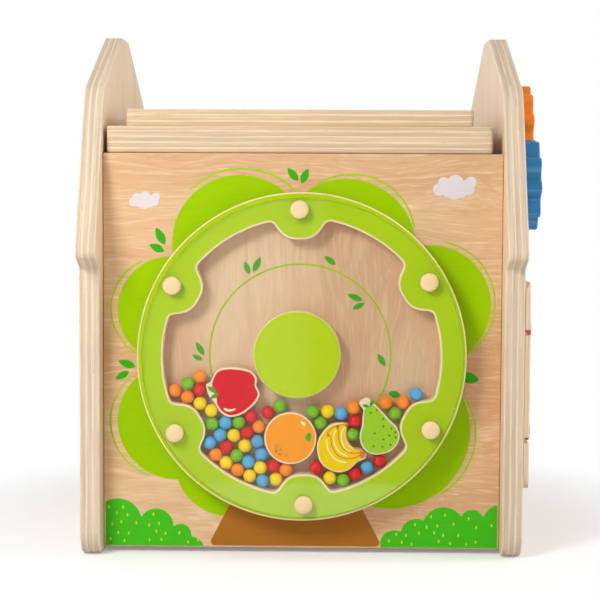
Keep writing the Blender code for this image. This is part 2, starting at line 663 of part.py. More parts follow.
def build_heap(name, spots, middle, drum, material):
    """One heap of beads: round balls and short necks, joined into one body by a union."""
    bm = bmesh.new()
    for a, b in spots:
        bmesh.ops.create_uvsphere(bm, u_segments=BEAD_SIDES, v_segments=BEAD_ROWS,
                                  radius=BEAD_DIAMETER / 2, matrix=Matrix.Translation((a, middle, b)))
    joined = [0]
    while len(joined) < len(spots):
        loose = [index for index in range(len(spots)) if index not in joined]
        _, one, other = min((float(np.linalg.norm(spots[i] - spots[j])), i, j) for i in joined for j in loose)
        joined.append(other)
        start = Vector((spots[one][0], middle, spots[one][1]))
        run = Vector((spots[other][0], middle, spots[other][1])) - start
        turn = run.to_track_quat("Z", "Y").to_matrix().to_4x4()
        bmesh.ops.create_cone(bm, cap_ends=True, segments=4, radius1=BEAD_NECK_DIAMETER / 2,
                              radius2=BEAD_NECK_DIAMETER / 2, depth=run.length,
                              matrix=Matrix.Translation(start + run / 2) @ turn)
    heap = add_object(name, bm, material, drum)
    seed = bmesh.new()
    bmesh.ops.create_icosphere(seed, subdivisions=1, radius=BEAD_DIAMETER / 4,
                               matrix=Matrix.Translation((spots[0][0], middle, spots[0][1])))
    core = add_object(f"{name}_core", seed, material, drum)
    core.hide_render = True
    core.display_type = "WIRE"
    union = heap.modifiers.new("join", "BOOLEAN")
    union.operation = "UNION"
    union.solver = "EXACT"
    union.use_self = True
    union.object = core


def build_axle(parent, finishes):
    """The bolt that the drum turns on, with its spacer outside and its washer and nut inside the case."""
    level = drum_levels()
    axis = empty("axle_axis", (0, FRONT_Y, DRUM_Z), parent)
    hole = AXLE_DIAMETER / 2 + SEAT_GAP
    turned("drum_spacer", [(hole, -SEAT_GAP), (SPACER_DIAMETER / 2, -SEAT_GAP),
                           (SPACER_DIAMETER / 2, -SEAT_GAP - DRUM_STANDOFF), (hole, -SEAT_GAP - DRUM_STANDOFF)],
           DISC_SEGMENTS // 2, "Y", finishes["nylon"], axis, bore=True)
    seat = level["back"] + BACK_DISC_THICKNESS + SEAT_GAP
    shank = AXLE_DIAMETER / 2
    head = AXLE_HEAD_DIAMETER / 2
    washer_seat = FRONT_THICKNESS + SEAT_GAP
    nut_seat = washer_seat + WASHER_THICKNESS + SEAT_GAP
    tail = nut_seat + NUT_HEIGHT + AXLE_TAIL
    crown = seat + AXLE_HEAD_HEIGHT
    turned("drum_axle_bolt", [(0, -crown), (head * AXLE_HEAD_FLAT, -crown), (head, -crown + AXLE_HEAD_HEIGHT / 2),
                              (head, -seat), (shank, -seat), (shank, tail), (0, tail)], SMALL_SEGMENTS, "Y",
           finishes["steel"], axis)
    turned("axle_washer", [(hole, washer_seat), (WASHER_DIAMETER / 2, washer_seat),
                           (WASHER_DIAMETER / 2, washer_seat + WASHER_THICKNESS),
                           (hole, washer_seat + WASHER_THICKNESS)], SMALL_SEGMENTS, "Y", finishes["steel"], axis,
           bore=True)
    corner_radius = NUT_WIDTH / 2 / math.cos(math.pi / 6)
    prism("axle_nut", circle(corner_radius, 6), nut_seat, nut_seat + NUT_HEIGHT, "Y", finishes["steel"], axis,
          [circle(hole, SMALL_SEGMENTS)])


def gear_outline(tooth_angle):
    """A scalloped gear outline whose radius swings about the pitch circle, with a tooth at the angle."""
    points = []
    steps = GEAR_TEETH * TOOTH_STEPS
    for step in range(steps):
        angle = math.tau * step / steps
        radius = GEAR_PITCH_RADIUS + GEAR_TOOTH_HEIGHT / 2 * math.cos(GEAR_TEETH * (angle - tooth_angle))
        points.append((radius * math.cos(angle), radius * math.sin(angle)))
    return points


def build_gears(parent, finishes):
    """Two meshed gears on the right side, each on a shouldered pin with a washer behind it."""
    blue, orange = gear_places()
    line = math.radians(GEAR_LINE_ANGLE)
    half_tooth = math.pi / GEAR_TEETH
    bore = PIN_DIAMETER / 2 + TURN_GAP
    inner = SIDE_OUTER_X + GEAR_STANDOFF
    outer = inner + GEAR_THICKNESS
    for name, centre, tooth in (("blue", blue, line), ("orange", orange, line + math.pi + half_tooth)):
        axis = empty(f"gear_{name}_axis", (0, centre.x, centre.y), parent)
        gear = prism(f"gear_{name}", gear_outline(tooth), inner, outer, "X", finishes[f"gear_{name}"], axis,
                     [circle(bore, SMALL_SEGMENTS)], EDGE_ROUND)
        sink = PIN_HEAD_HEIGHT + PIN_HEAD_SINK
        cut(gear, turned(f"gear_{name}_sink_cutter",
                         [(0, outer - sink), (PIN_HEAD_DIAMETER / 2 + TURN_GAP, outer - sink),
                          (PIN_HEAD_DIAMETER / 2 + TURN_GAP, outer + sink), (0, outer + sink)],
                         SMALL_SEGMENTS, "X", finishes["steel"], axis))
        build_gear_pin(name, axis, inner, outer, sink, finishes)


def build_gear_pin(name, gear_axis, inner, outer, sink, finishes):
    """The shouldered pin that a gear turns on, screwed into the side panel, and its washer."""
    head_seat = outer - sink + SEAT_GAP
    head_top = head_seat + PIN_HEAD_HEIGHT
    shoulder_seat = SIDE_OUTER_X + SEAT_GAP
    tail = SIDE_OUTER_X - PIN_THREAD_LENGTH
    thread, shoulder, head = PIN_THREAD_DIAMETER / 2, PIN_DIAMETER / 2, PIN_HEAD_DIAMETER / 2
    turned(f"gear_pin_{name}", [(0, tail), (thread, tail), (thread, shoulder_seat), (shoulder, shoulder_seat),
                                (shoulder, head_seat), (head, head_seat), (head, head_top - PIN_HEAD_BEVEL),
                                (head * PIN_HEAD_FLAT, head_top), (0, head_top)], SMALL_SEGMENTS, "X",
           finishes["knob"], gear_axis)
    hole = PIN_DIAMETER / 2 + SEAT_GAP
    washer_outer = inner - SEAT_GAP
    turned(f"gear_washer_{name}", [(hole, shoulder_seat), (GEAR_WASHER_DIAMETER / 2, shoulder_seat),
                                   (GEAR_WASHER_DIAMETER / 2, washer_outer), (hole, washer_outer)],
           SMALL_SEGMENTS, "X", finishes["nylon"], gear_axis, bore=True)


def build_track_board(parent, finishes):
    """The play board on the right side, with two slots that are open at the front edge."""
    back_y = -TRACK_FRONT_Y
    slot_end = back_y - SLOT_BACK_MARGIN
    corners = [(TRACK_FRONT_Y, TRACK_BOTTOM, TRACK_RADIUS), (back_y, TRACK_BOTTOM, TRACK_RADIUS),
               (back_y, TRACK_BOTTOM + TRACK_HEIGHT, TRACK_RADIUS),
               (TRACK_FRONT_Y, TRACK_BOTTOM + TRACK_HEIGHT, TRACK_RADIUS)]
    half = SLOT_WIDTH / 2
    for height in reversed(SLOT_HEIGHTS):
        corners += [(TRACK_FRONT_Y, height + half, 0), (slot_end, height + half, half * SLOT_END_ROUNDNESS),
                    (slot_end, height - half, half * SLOT_END_ROUNDNESS), (TRACK_FRONT_Y, height - half, 0)]
    prism("track_board", rounded_outline(corners), TRACK_X, TRACK_X + TRACK_THICKNESS, "X", finishes["plywood"],
          parent)


def build_sliders(parent, finishes):
    """Two red sliders: a button outside the board on a stem, and a foot in the side panel's groove."""
    foot_top = SIDE_OUTER_X - TURN_GAP
    foot_back = foot_top - FOOT_HEIGHT
    board_top = TRACK_X + TRACK_THICKNESS
    button_seat = board_top + TURN_GAP
    stem, foot, button = STEM_DIAMETER / 2, FOOT_DIAMETER / 2, BUTTON_DIAMETER / 2
    top = button_seat + BUTTON_HEIGHT
    for name, height in zip(("lower", "upper"), SLOT_HEIGHTS):
        axis = empty(f"slider_{name}_axis", (0, SLIDER_REST_Y, height), parent)
        turned(f"slider_{name}", [(0, foot_back), (foot, foot_back), (foot, foot_top), (stem, foot_top),
                                  (stem, button_seat), (button, button_seat), (button, top - BUTTON_EDGE),
                                  (button - BUTTON_EDGE, top), (0, top)], SMALL_SEGMENTS, "X", finishes["slider"], axis)


def build_cube():
    """Build every piece of the activity cube."""
    clear_scene()
    finishes = {
        "plywood": finish("plywood", (0.76, 0.62, 0.45), 0.55),
        "panel": finish("panel_wood", (0.80, 0.52, 0.30), 0.5),
        "dowel": finish("beech", (0.80, 0.62, 0.40), 0.55),
        "back_disc": finish("drum_back_wood", (0.62, 0.42, 0.27), 0.5),
        "ring": finish("green_print", (0.36, 0.60, 0.03), 0.45),
        "acrylic": finish("clear_acrylic", (0.95, 0.97, 0.96), 0.05, 0.0, 0.25),
        "knob": finish("cream_wood", (0.93, 0.72, 0.40), 0.5),
        "steel": finish("zinc_steel", (0.60, 0.60, 0.62), 0.35, 1.0),
        "nylon": finish("white_nylon", (0.80, 0.80, 0.78), 0.5),
        "gear_blue": finish("blue_plastic", (0.06, 0.30, 0.56), 0.4),
        "gear_orange": finish("orange_plastic", (0.80, 0.22, 0.02), 0.4),
        "slider": finish("red_plastic", (0.60, 0.04, 0.03), 0.4),
        "fruit_apple": finish("apple_red", (0.62, 0.02, 0.04), 0.45),
        "fruit_orange": finish("orange_print", (0.86, 0.32, 0.02), 0.45),
        "fruit_bananas": finish("banana_yellow", (0.80, 0.52, 0.01), 0.45),
        "fruit_pear": finish("pear_green", (0.32, 0.58, 0.05), 0.45),
        "beads_left": finish("bead_red", (0.60, 0.03, 0.04), 0.35),
        "beads_top": finish("bead_blue", (0.08, 0.34, 0.62), 0.35),
        "beads_right": finish("bead_orange", (0.85, 0.26, 0.03), 0.35),
        "beads_bottom": finish("bead_yellow", (0.85, 0.60, 0.02), 0.35),
    }
    case = empty("case", (CASE_X, 0, 0))
    build_sides(case, finishes)
    build_panels(case, finishes)
    build_dowels(case, finishes)
    build_inside(case, finishes)
    build_lid(case, finishes)
    build_drum(case, finishes)
    build_axle(case, finishes)
    build_gears(case, finishes)
    build_track_board(case, finishes)
    build_sliders(case, finishes)


build_cube()
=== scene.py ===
"""Looks of the wooden activity cube: plywood case, printed scene, bead drum, side gears, sliders and lid.

Everything is in metres, +Z up, with the front facing -Y. Lengths in the tables below are millimetres from the
middle of the panel or the drum, as their class says.
"""

import json
import logging
import math
from dataclasses import dataclass, field
from enum import Enum
from typing import Iterable, Sequence

import bmesh
import bpy
import numpy as np
from mathutils import Matrix, Vector


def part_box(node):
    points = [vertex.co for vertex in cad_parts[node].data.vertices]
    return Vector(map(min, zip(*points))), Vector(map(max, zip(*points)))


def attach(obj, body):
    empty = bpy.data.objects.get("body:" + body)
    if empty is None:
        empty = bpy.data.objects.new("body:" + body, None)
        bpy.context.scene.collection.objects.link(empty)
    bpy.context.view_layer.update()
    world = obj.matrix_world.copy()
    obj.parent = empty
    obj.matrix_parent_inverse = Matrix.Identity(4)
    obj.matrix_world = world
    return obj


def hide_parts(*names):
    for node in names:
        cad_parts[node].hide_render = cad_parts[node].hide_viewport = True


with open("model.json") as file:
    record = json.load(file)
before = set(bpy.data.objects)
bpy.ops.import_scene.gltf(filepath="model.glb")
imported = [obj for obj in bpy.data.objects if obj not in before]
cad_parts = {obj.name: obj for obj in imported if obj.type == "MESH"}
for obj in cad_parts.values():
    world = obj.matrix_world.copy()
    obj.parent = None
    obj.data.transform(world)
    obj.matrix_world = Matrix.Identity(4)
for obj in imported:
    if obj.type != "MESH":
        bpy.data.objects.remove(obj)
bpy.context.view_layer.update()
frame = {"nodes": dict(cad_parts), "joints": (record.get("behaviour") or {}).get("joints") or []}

MM = 0.001
LOG = logging.getLogger("activity_cube")

Colour = tuple[float, float, float]
Place = tuple[float, float, float]
Lobe = tuple[float, float, float]
Spot = tuple[float, float]
Stroke = tuple[float, float, float, float, float]
Material = bpy.types.Material
Socket = bpy.types.NodeSocket

WHITE: Colour = (1.0, 1.0, 1.0)
POLE = 0.00002  # radius of the last ring at a pole, in metres
SHARP = 40.0  # edges steeper than this many degrees stay crisp
SQUARE = 0.9995  # a face whose normal lies this close to an axis shades flat
WELD = 2e-6  # points nearer than this merge, in metres


class Axis(Enum):
    """The direction that a board's thickness, or its grain, runs in."""

    X = 0
    Y = 1
    Z = 2


class BeadColour(Enum):
    """The five paints of the loose beads, as screen colours from 0 to 255."""

    ORANGE = (252, 136, 24)
    GREEN = (118, 180, 18)
    RED = (216, 20, 22)
    YELLOW = (252, 208, 1)
    BLUE = (88, 162, 218)


def tinted(colour: Colour, share: float) -> Colour:
    """The screen colour made lighter or darker by a share."""
    return tuple(min(255.0, part * share) for part in colour)


def linear(colour: Colour, share: float = 1.0) -> Colour:
    """Turn a screen colour into the linear light that shaders take, by the standard screen curve.

    Args:
        colour: Red, green and blue from 0 to 255.
        share: How much lighter or darker it is made first.

    Returns:
        The linear colour.
    """
    part = np.array(tinted(colour, share)) / 255
    light = np.where(part <= 0.04045, part / 12.92, ((part + 0.055) / 1.055) ** 2.4)
    return tuple(float(value) for value in light)


def middle_of(node: str, across: Axis = Axis.Y) -> Spot:
    """The middle of a CAD node, seen along an axis.

    Args:
        node: The node.
        across: The axis.

    Returns:
        Its place on the two other axes, in metres.
    """
    low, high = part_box(node)
    first, second = ((low[axis.value] + high[axis.value]) / 2 for axis in Axis if axis is not across)
    return first, second


def half_of(node: str, along: Axis = Axis.X) -> float:
    """Half of a CAD node's size along an axis, which is the radius of a round one."""
    low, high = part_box(node)
    return (high[along.value] - low[along.value]) / 2


# ---- materials


class Graph:
    """One material's node tree, with a short call for each kind of node."""

    def __init__(self, name: str) -> None:
        """Start an empty material.

        Args:
            name: The material's name.
        """
        self.material = bpy.data.materials.new(name)
        self.material.use_nodes = True
        self.tree = self.material.node_tree
        self.tree.nodes.clear()
        self.output = self.tree.nodes.new("ShaderNodeOutputMaterial")
        self.place = self.tree.nodes.new("ShaderNodeTexCoord")

    def add(self, kind: str, inputs: dict | None = None, **settings: object) -> bpy.types.Node:
        """Add a node, set its options and feed its inputs.

        Args:
            kind: The node's type name after ShaderNode.
            inputs: Values or sockets by input name or number.
            settings: Options of the node.

        Returns:
            The node.
        """
        node = self.tree.nodes.new("ShaderNode" + kind)
        for key, value in settings.items():
            setattr(node, key, value)
        for key, value in (inputs or {}).items():
            self.feed(node.inputs[key], value)
        return node

    def feed(self, socket: Socket, value: object) -> None:
        """Link a socket into another, or set its plain value.

        Args:
            socket: The input to feed.
            value: A socket, a number or a colour.
        """
        if isinstance(value, Socket):
            self.tree.links.new(value, socket)
        elif isinstance(value, tuple) and len(value) == 3 and socket.type == "RGBA":
            socket.default_value = (*value, 1.0)
        else:
            socket.default_value = value

    def math(self, operation: str, *values: object) -> Socket:
        """One Math node on the values."""
        return self.add("Math", dict(enumerate(values)), operation=operation).outputs[0]

    def mix(self, share: object, first: object, second: object) -> Socket:
        """A colour between the first and the second, by the share."""
        return self.add("Mix", {0: share, 6: first, 7: second}, data_type="RGBA").outputs[2]

    def span(self, value: object, low: float, high: float, start: float = 0.0, end: float = 1.0) -> Socket:
        """Stretch the range low to high onto start to end, held at both ends."""
        inputs = {0: value, 1: low, 2: high, 3: start, 4: end}
        return self.add("MapRange", inputs, clamp=True, interpolation_type="SMOOTHSTEP").outputs[0]

    def follow(self, pattern: object, least: float = 0.0, most: float = 1.0) -> Socket:
        """A value from least to most that follows a noise over its usual range."""
        return self.span(pattern, 0.3, 0.7, least, most)

    def veil(self, under: object, over: object, pattern: object, low: float, high: float,
             most: float = 1.0) -> Socket:
        """Lay a colour over another as a pattern rises from low to high, up to a share of most."""
        return self.mix(self.span(pattern, low, high, 0.0, most), under, over)

    def stretched(self, scale: Sequence[float]) -> Socket:
        """Object coordinates, scaled along each axis."""
        return self.add("Mapping", {0: self.place.outputs["Object"], 3: tuple(scale)}).outputs[0]

    def noise(self, vector: object, detail: float, rough: float, warp: float = 0.0) -> Socket:
        """Soft random values round 0.5 on the given coordinates."""
        inputs = {"Vector": vector, "Scale": 1.0, "Detail": detail, "Roughness": rough, "Distortion": warp}
        return self.add("TexNoise", inputs).outputs[0]

    def cells(self, per_metre: float, detail: float = 2.0, rough: float = 0.5) -> Socket:
        """Soft random values in even cells, so many to the metre."""
        return self.noise(self.stretched((per_metre,) * 3), detail, rough)

    def streaks(self, along: Axis, length: float, width: float, detail: float = 3.0, rough: float = 0.6,
                warp: float = 0.0) -> Socket:
        """Soft random values with so many cells to the metre along an axis, and across it."""
        return self.noise(self.stretched(grain_scale(along, length, width)), detail, rough, warp)

    def bump(self, height: object, distance: float, strength: float = 0.5) -> Socket:
        """A normal from a height that swings by the distance in metres."""
        return self.add("Bump", {"Height": height, "Distance": distance, "Strength": strength}).outputs[0]

    def close(self, shader: Socket) -> Material:
        """Link the shader to the output, which finishes the material."""
        self.tree.links.new(shader, self.output.inputs[0])
        return self.material

    def surface(self, colour: object, roughness: object, normal: object, **plain: float) -> Material:
        """Close the material with a Principled shader.

        Args:
            colour: Base colour or its socket.
            roughness: Roughness or its socket.
            normal: The normal's socket.
            plain: Plain values by input name, with underscores for blanks.

        Returns:
            The finished material.
        """
        shader = self.add("BsdfPrincipled", {"Base Color": colour, "Roughness": roughness, "Normal": normal})
        for key, value in plain.items():
            shader.inputs[key.replace("_", " ")].default_value = value
        return self.close(shader.outputs[0])


def grain_scale(along: Axis, length: float, width: float) -> tuple[float, ...]:
    """Pattern scales that draw a texture out along one axis: cells per metre along and across it."""
    return tuple(length if axis is along else width for axis in Axis)


@dataclass(frozen=True)
class Plywood:
    """Lacquered plywood: veneer on its two faces, and its plies as stripes on every edge.

    Attributes:
        face: Screen colour of the face veneer.
        light: Screen colour of the thin plies whose grain runs along the edge.
        dark: Screen colour of the thick plies seen end on.
        knot: Screen colour of the small knots in the edges.
        plies: How many plies the board has.
        light_faces: Whether the outer plies are thin light ones.
        grain: The direction of the face grain.
        streak: How strongly the face grain shows.
        edge_bump: Height of the cut marks on the edges, in metres.
        wander: How far the plies wander from side to side, in metres.
    """

    face: Colour = (242, 217, 185)
    light: Colour = (231, 215, 190)
    dark: Colour = (217, 193, 165)
    knot: Colour = (196, 146, 96)
    plies: int = 7
    light_faces: bool = True
    grain: Axis = Axis.Z
    streak: float = 0.36
    edge_bump: float = 0.0001
    wander: float = 0.0008

    def material(self, name: str, node: str, across: Axis) -> Material:
        """Make the material for a board. A light ply is a third as thick as a dark one, and a place on the edge is
        as dark as its distance from the nearest light ply's middle says.

        Args:
            name: The material's name.
            node: The CAD node whose thickness the plies fill.
            across: The direction of that thickness.

        Returns:
            The material.
        """
        graph = Graph(name)
        start, end = (corner[across.value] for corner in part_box(node))
        lights = (self.plies + 1) // 2 if self.light_faces else self.plies // 2
        thick = (end - start) / (lights / 3 + self.plies - lights)
        period, half = thick * 4 / 3, thick / 6
        origin = start + (half if self.light_faces else -half)
        place = graph.add("SeparateXYZ", {0: graph.place.outputs["Object"]}).outputs[across.value]
        wander = graph.math("MULTIPLY_ADD", graph.cells(16), self.wander, -self.wander / 2)
        depth = graph.math("MULTIPLY_ADD", graph.math("ADD", place, wander), 1 / period, -origin / period)
        dark_share = graph.span(graph.math("PINGPONG", depth, 0.5), 0.04, 0.22)
        tone = graph.streaks(across, 340, 7)
        hair = graph.streaks(across, 2100, 30, 3.0, 0.62)
        pores = graph.cells(1500, 2.0, 0.6)
        knots = graph.streaks(across, 420, 70, 1.0, 0.4)
        dark = graph.veil(linear(self.dark, 1.04), linear(self.dark, 0.93), tone, 0.34, 0.66)
        light = graph.veil(linear(self.light), linear(self.dark, 1.03), tone, 0.5, 0.72)
        stripes = graph.mix(dark_share, light, dark)
        stripes = graph.veil(stripes, linear(self.dark, 0.86), hair, 0.44, 0.72, 0.75)
        stripes = graph.veil(stripes, linear(self.dark, 0.74), pores, 0.60, 0.74, 0.4)
        stripes = graph.veil(stripes, linear(self.knot), knots, 0.74, 0.80, 0.55)
        facing = graph.add("SeparateXYZ", {0: graph.place.outputs["Normal"]}).outputs[across.value]
        flat = graph.span(graph.math("ABSOLUTE", facing), 0.72, 0.92)
        veneer, figure = self.veneer(graph)
        height = graph.mix(flat, graph.math("ADD", pores, hair), figure)
        rough = graph.math("ADD", graph.math("MULTIPLY", flat, -0.14), graph.follow(pores, 0.6, 0.72))
        return graph.surface(graph.mix(flat, stripes, veneer), rough, graph.bump(height, self.edge_bump),
                             Specular_IOR_Level=0.25)

    def veneer(self, graph: Graph) -> tuple[Socket, Socket]:
        """The face veneer.

        Args:
            graph: The material's graph.

        Returns:
            Its colour and its fine figure.
        """
        fine = graph.streaks(self.grain, 40, 1100, 4.0)
        broad = graph.streaks(self.grain, 5, 17, 3.0, 0.5, 0.6)
        colour = graph.veil(linear(self.face, 1.015), linear(self.face, 0.965), broad, 0.32, 0.68)
        return graph.veil(colour, linear(self.face, 0.84), fine, 0.45, 0.75, 0.55 * self.streak), fine


@dataclass(frozen=True)
class PanelVeneer:
    """Warm lacquered veneer: soft bands, feathery flecks and a few pale annual lines that wander along the grain.

    Attributes:
        warm: Screen colour of the plain wood.
        deep: Screen colour of its redder parts.
        pale: Screen colour of the annual lines.
        grain: The direction of the grain.
        lines: Annual lines for each metre across the grain.
        line_share: How strongly the lines show.
        band_share: How strongly the bands and flecks show.
        sway: How far the figure is pushed about, in metres.
    """

    warm: Colour = (222, 184, 142)
    deep: Colour = (203, 156, 111)
    pale: Colour = (239, 211, 174)
    grain: Axis = Axis.X
    lines: float = 16.0
    line_share: float = 0.6
    band_share: float = 0.8
    sway: float = 0.036

    def material(self, name: str) -> Material:
        """Make the material.

        Args:
            name: Its name.

        Returns:
            The material.
        """
        graph = Graph(name)
        colour, fine = self.colour(graph)
        rough = graph.follow(fine, 0.44, 0.56)
        return graph.surface(colour, rough, graph.bump(fine, 0.00006), Specular_IOR_Level=0.3)

    def colour(self, graph: Graph) -> tuple[Socket, Socket]:
        """The wood's figure: everything is read at places pushed across the grain by a slow wave of noise, so that
        bands and lines meander together.

        Args:
            graph: The material's graph.

        Returns:
            The wood's colour and its fine figure.
        """
        wave = graph.add("TexNoise", {"Vector": graph.stretched(grain_scale(self.grain, 7, 13)), "Scale": 1.0,
                                      "Detail": 2.0}).outputs["Color"]
        push = graph.add("VectorMath", {0: wave, 1: (-0.5, -0.5, -0.5)}, operation="ADD").outputs[0]
        push = graph.add("VectorMath", {0: push, "Scale": self.sway}, operation="SCALE").outputs[0]
        moved = graph.add("VectorMath", {0: graph.place.outputs["Object"], 1: push}, operation="ADD").outputs[0]

        def drawn(length: float, width: float, detail: float, rough: float) -> Socket:
            """Noise at the pushed places, with so many cells to the metre along and across the grain."""
            scaled = graph.add("Mapping", {0: moved, 3: grain_scale(self.grain, length, width)}).outputs[0]
            return graph.noise(scaled, detail, rough)

        broad = drawn(3.0, 11, 3.0, 0.55)
        bands = drawn(9, 105, 3.0, 0.55)
        flecks = drawn(52, 560, 3.0, 0.6)
        ridge = graph.math("PINGPONG", graph.math("MULTIPLY", drawn(2.0, self.lines, 1.0, 0.4), 5.0), 0.5)
        silver = drawn(24, 760, 2.0, 0.55)
        fine = graph.streaks(self.grain, 40, 1300, 3.0, 0.62)
        body = graph.veil(linear(self.warm), linear(self.deep), broad, 0.36, 0.64)
        body = graph.veil(body, linear(self.deep), bands, 0.42, 0.66, 0.55 * self.band_share)
        body = graph.veil(body, linear(self.deep, 0.93), flecks, 0.48, 0.68, 0.34 * self.band_share)
        body = graph.veil(body, linear(self.pale), silver, 0.52, 0.68, 0.42 * self.band_share)
        lines = graph.math("MULTIPLY", graph.span(ridge, 0.445, 0.5), graph.span(flecks, 0.3, 0.55, 1.0, 0.35))
        body = graph.mix(graph.math("MULTIPLY", lines, self.line_share), body, linear(self.pale))
        return graph.veil(body, linear(self.deep, 0.86), fine, 0.5, 0.75, 0.17), fine


@dataclass(frozen=True)
class Ink:
    """Printing ink on wood: an even colour that lets a little of the grain through.

    Attributes:
        colour: Screen colour of the ink.
        shade: Screen colour of its darker mottling.
        grain: The direction of the wood under it.
        roughness: How dull the varnish over it is.
    """

    colour: Colour
    shade: Colour
    grain: Axis = Axis.X
    roughness: float = 0.5

    def material(self, name: str) -> Material:
        """Make the material.

        Args:
            name: Its name.

        Returns:
            The material.
        """
        graph = Graph(name)
        fine = graph.streaks(self.grain, 30, 1100)
        broad = graph.cells(9)
        colour = graph.mix(graph.follow(broad, 0.0, 0.5), linear(self.colour), linear(self.shade))
        colour = graph.veil(colour, linear(self.shade), fine, 0.5, 0.72, 0.4)
        rough = graph.follow(fine, self.roughness - 0.04, self.roughness + 0.06)
        return graph.surface(colour, rough, graph.bump(fine, 0.00004, 0.4), Specular_IOR_Level=0.05)


@dataclass(frozen=True)
class TurnedWood:
    """Plain pale wood of pegs, dowels and battens, with short pores along the grain.

    Attributes:
        colour: Screen colour of the wood.
        grain: The direction of the grain.
        roughness: How dull it is.
        figure: How strongly the grain shows.
    """

    colour: Colour = (250, 226, 176)
    grain: Axis = Axis.X
    roughness: float = 0.5
    figure: float = 1.0

    def material(self, name: str) -> Material:
        """Make the material.

        Args:
            name: Its name.

        Returns:
            The material.
        """
        graph = Graph(name)
        fine = graph.streaks(self.grain, 90, 1600)
        broad = graph.streaks(self.grain, 12, 160, 2.0, 0.5)
        colour = graph.veil(linear(self.colour), linear(self.colour, 0.94), broad, 0.35, 0.65, self.figure)
        colour = graph.veil(colour, linear(self.colour, 0.82), fine, 0.52, 0.75, 0.5 * self.figure)
        rough = graph.follow(fine, self.roughness - 0.05, self.roughness + 0.08)
        return graph.surface(colour, rough, graph.bump(fine, 0.00005, 0.5 * self.figure), Specular_IOR_Level=0.25)


@dataclass(frozen=True)
class Coat:
    """Paint or moulded plastic: one colour with faint unevenness in tone, sheen and surface.

    Attributes:
        colour: Screen colour.
        roughness: How dull it is.
        cells: Unevenness cells for each metre.
        lump: Height of the unevenness in metres.
        clear: Weight of a clear varnish over it.
        gloss: Level of its own reflection.
    """

    colour: Colour
    roughness: float = 0.42
    cells: float = 260.0
    lump: float = 0.00006
    clear: float = 0.0
    gloss: float = 0.3

    def material(self, name: str) -> Material:
        """Make the material.

        Args:
            name: Its name.

        Returns:
            The material.
        """
        graph = Graph(name)
        cells = graph.cells(self.cells)
        broad = graph.cells(40, 1.0)
        colour = graph.mix(graph.follow(broad), linear(self.colour, 1.02), linear(self.colour, 0.965))
        rough = graph.follow(cells, self.roughness - 0.04, self.roughness + 0.06)
        return graph.surface(colour, rough, graph.bump(cells, self.lump), Coat_Weight=self.clear,
                             Coat_Roughness=0.18, Specular_IOR_Level=self.gloss)


NYLON = Coat((226, 226, 222), 0.5)


@dataclass(frozen=True)
class Metal:
    """Zinc-plated steel with fine turning marks.

    Attributes:
        colour: Screen colour.
    """

    colour: Colour = (190, 192, 196)

    def material(self, name: str) -> Material:
        """Make the material.

        Args:
            name: Its name.

        Returns:
            The material.
        """
        graph = Graph(name)
        marks = graph.streaks(Axis.Y, 2400, 300)
        colour = graph.mix(graph.follow(marks), linear(self.colour), linear(self.colour, 0.85))
        return graph.surface(colour, graph.follow(marks, 0.28, 0.42), graph.bump(marks, 0.00002, 0.4), Metallic=1.0)


@dataclass(frozen=True)
class Acrylic:
    """Clear polished sheet: its outer skin reflects a little, and it is otherwise seen straight through.

    Attributes:
        tint: Screen colour of what passes through.
        index: How strongly it bends and so reflects light.
    """

    tint: Colour = (252, 254, 252)
    index: float = 1.25

    def material(self, name: str) -> Material:
        """Make the material: a Fresnel share of gloss over clear.

        Args:
            name: Its name.

        Returns:
            The material.
        """
        graph = Graph(name)
        outside = graph.math("SUBTRACT", 1.0, graph.add("NewGeometry").outputs["Backfacing"])
        share = graph.math("MULTIPLY", graph.add("Fresnel", {"IOR": self.index}).outputs[0], outside)
        rough = graph.follow(graph.cells(30), 0.03, 0.07)
        clear = graph.add("BsdfTransparent", {"Color": linear(self.tint)}).outputs[0]
        gloss = graph.add("BsdfAnisotropic", {"Color": WHITE, "Roughness": rough}).outputs[0]
        return graph.close(graph.add("MixShader", {0: share, 1: clear, 2: gloss}).outputs[0])


@dataclass(frozen=True)
class AcrylicEdge:
    """The sheet's sawn and polished rim, half clear and half painted shade: a dark green that stands in for the
    shaded ring seen through the rim.

    Attributes:
        colour: Screen colour of the painted shade on the rim, a darkened green of the ring behind it.
        cover: Share of the rim that isn't clear.
    """

    colour: Colour = (134, 170, 52)
    cover: float = 0.34

    def material(self, name: str) -> Material:
        """Make the material: part see-through, part tinted gloss in the painted-shade colour.

        Args:
            name: Its name.

        Returns:
            The material.
        """
        graph = Graph(name)
        rough = graph.follow(graph.cells(700, 2.0, 0.6), 0.15, 0.3)
        # Painted shade: the rim's dark green stands in for the shaded ring seen through it.
        body = graph.add("BsdfPrincipled", {"Base Color": linear(self.colour), "Roughness": rough}).outputs[0]
        clear = graph.add("BsdfTransparent", {"Color": WHITE}).outputs[0]
        return graph.close(graph.add("MixShader", {0: self.cover, 1: clear, 2: body}).outputs[0])


# ---- shapes


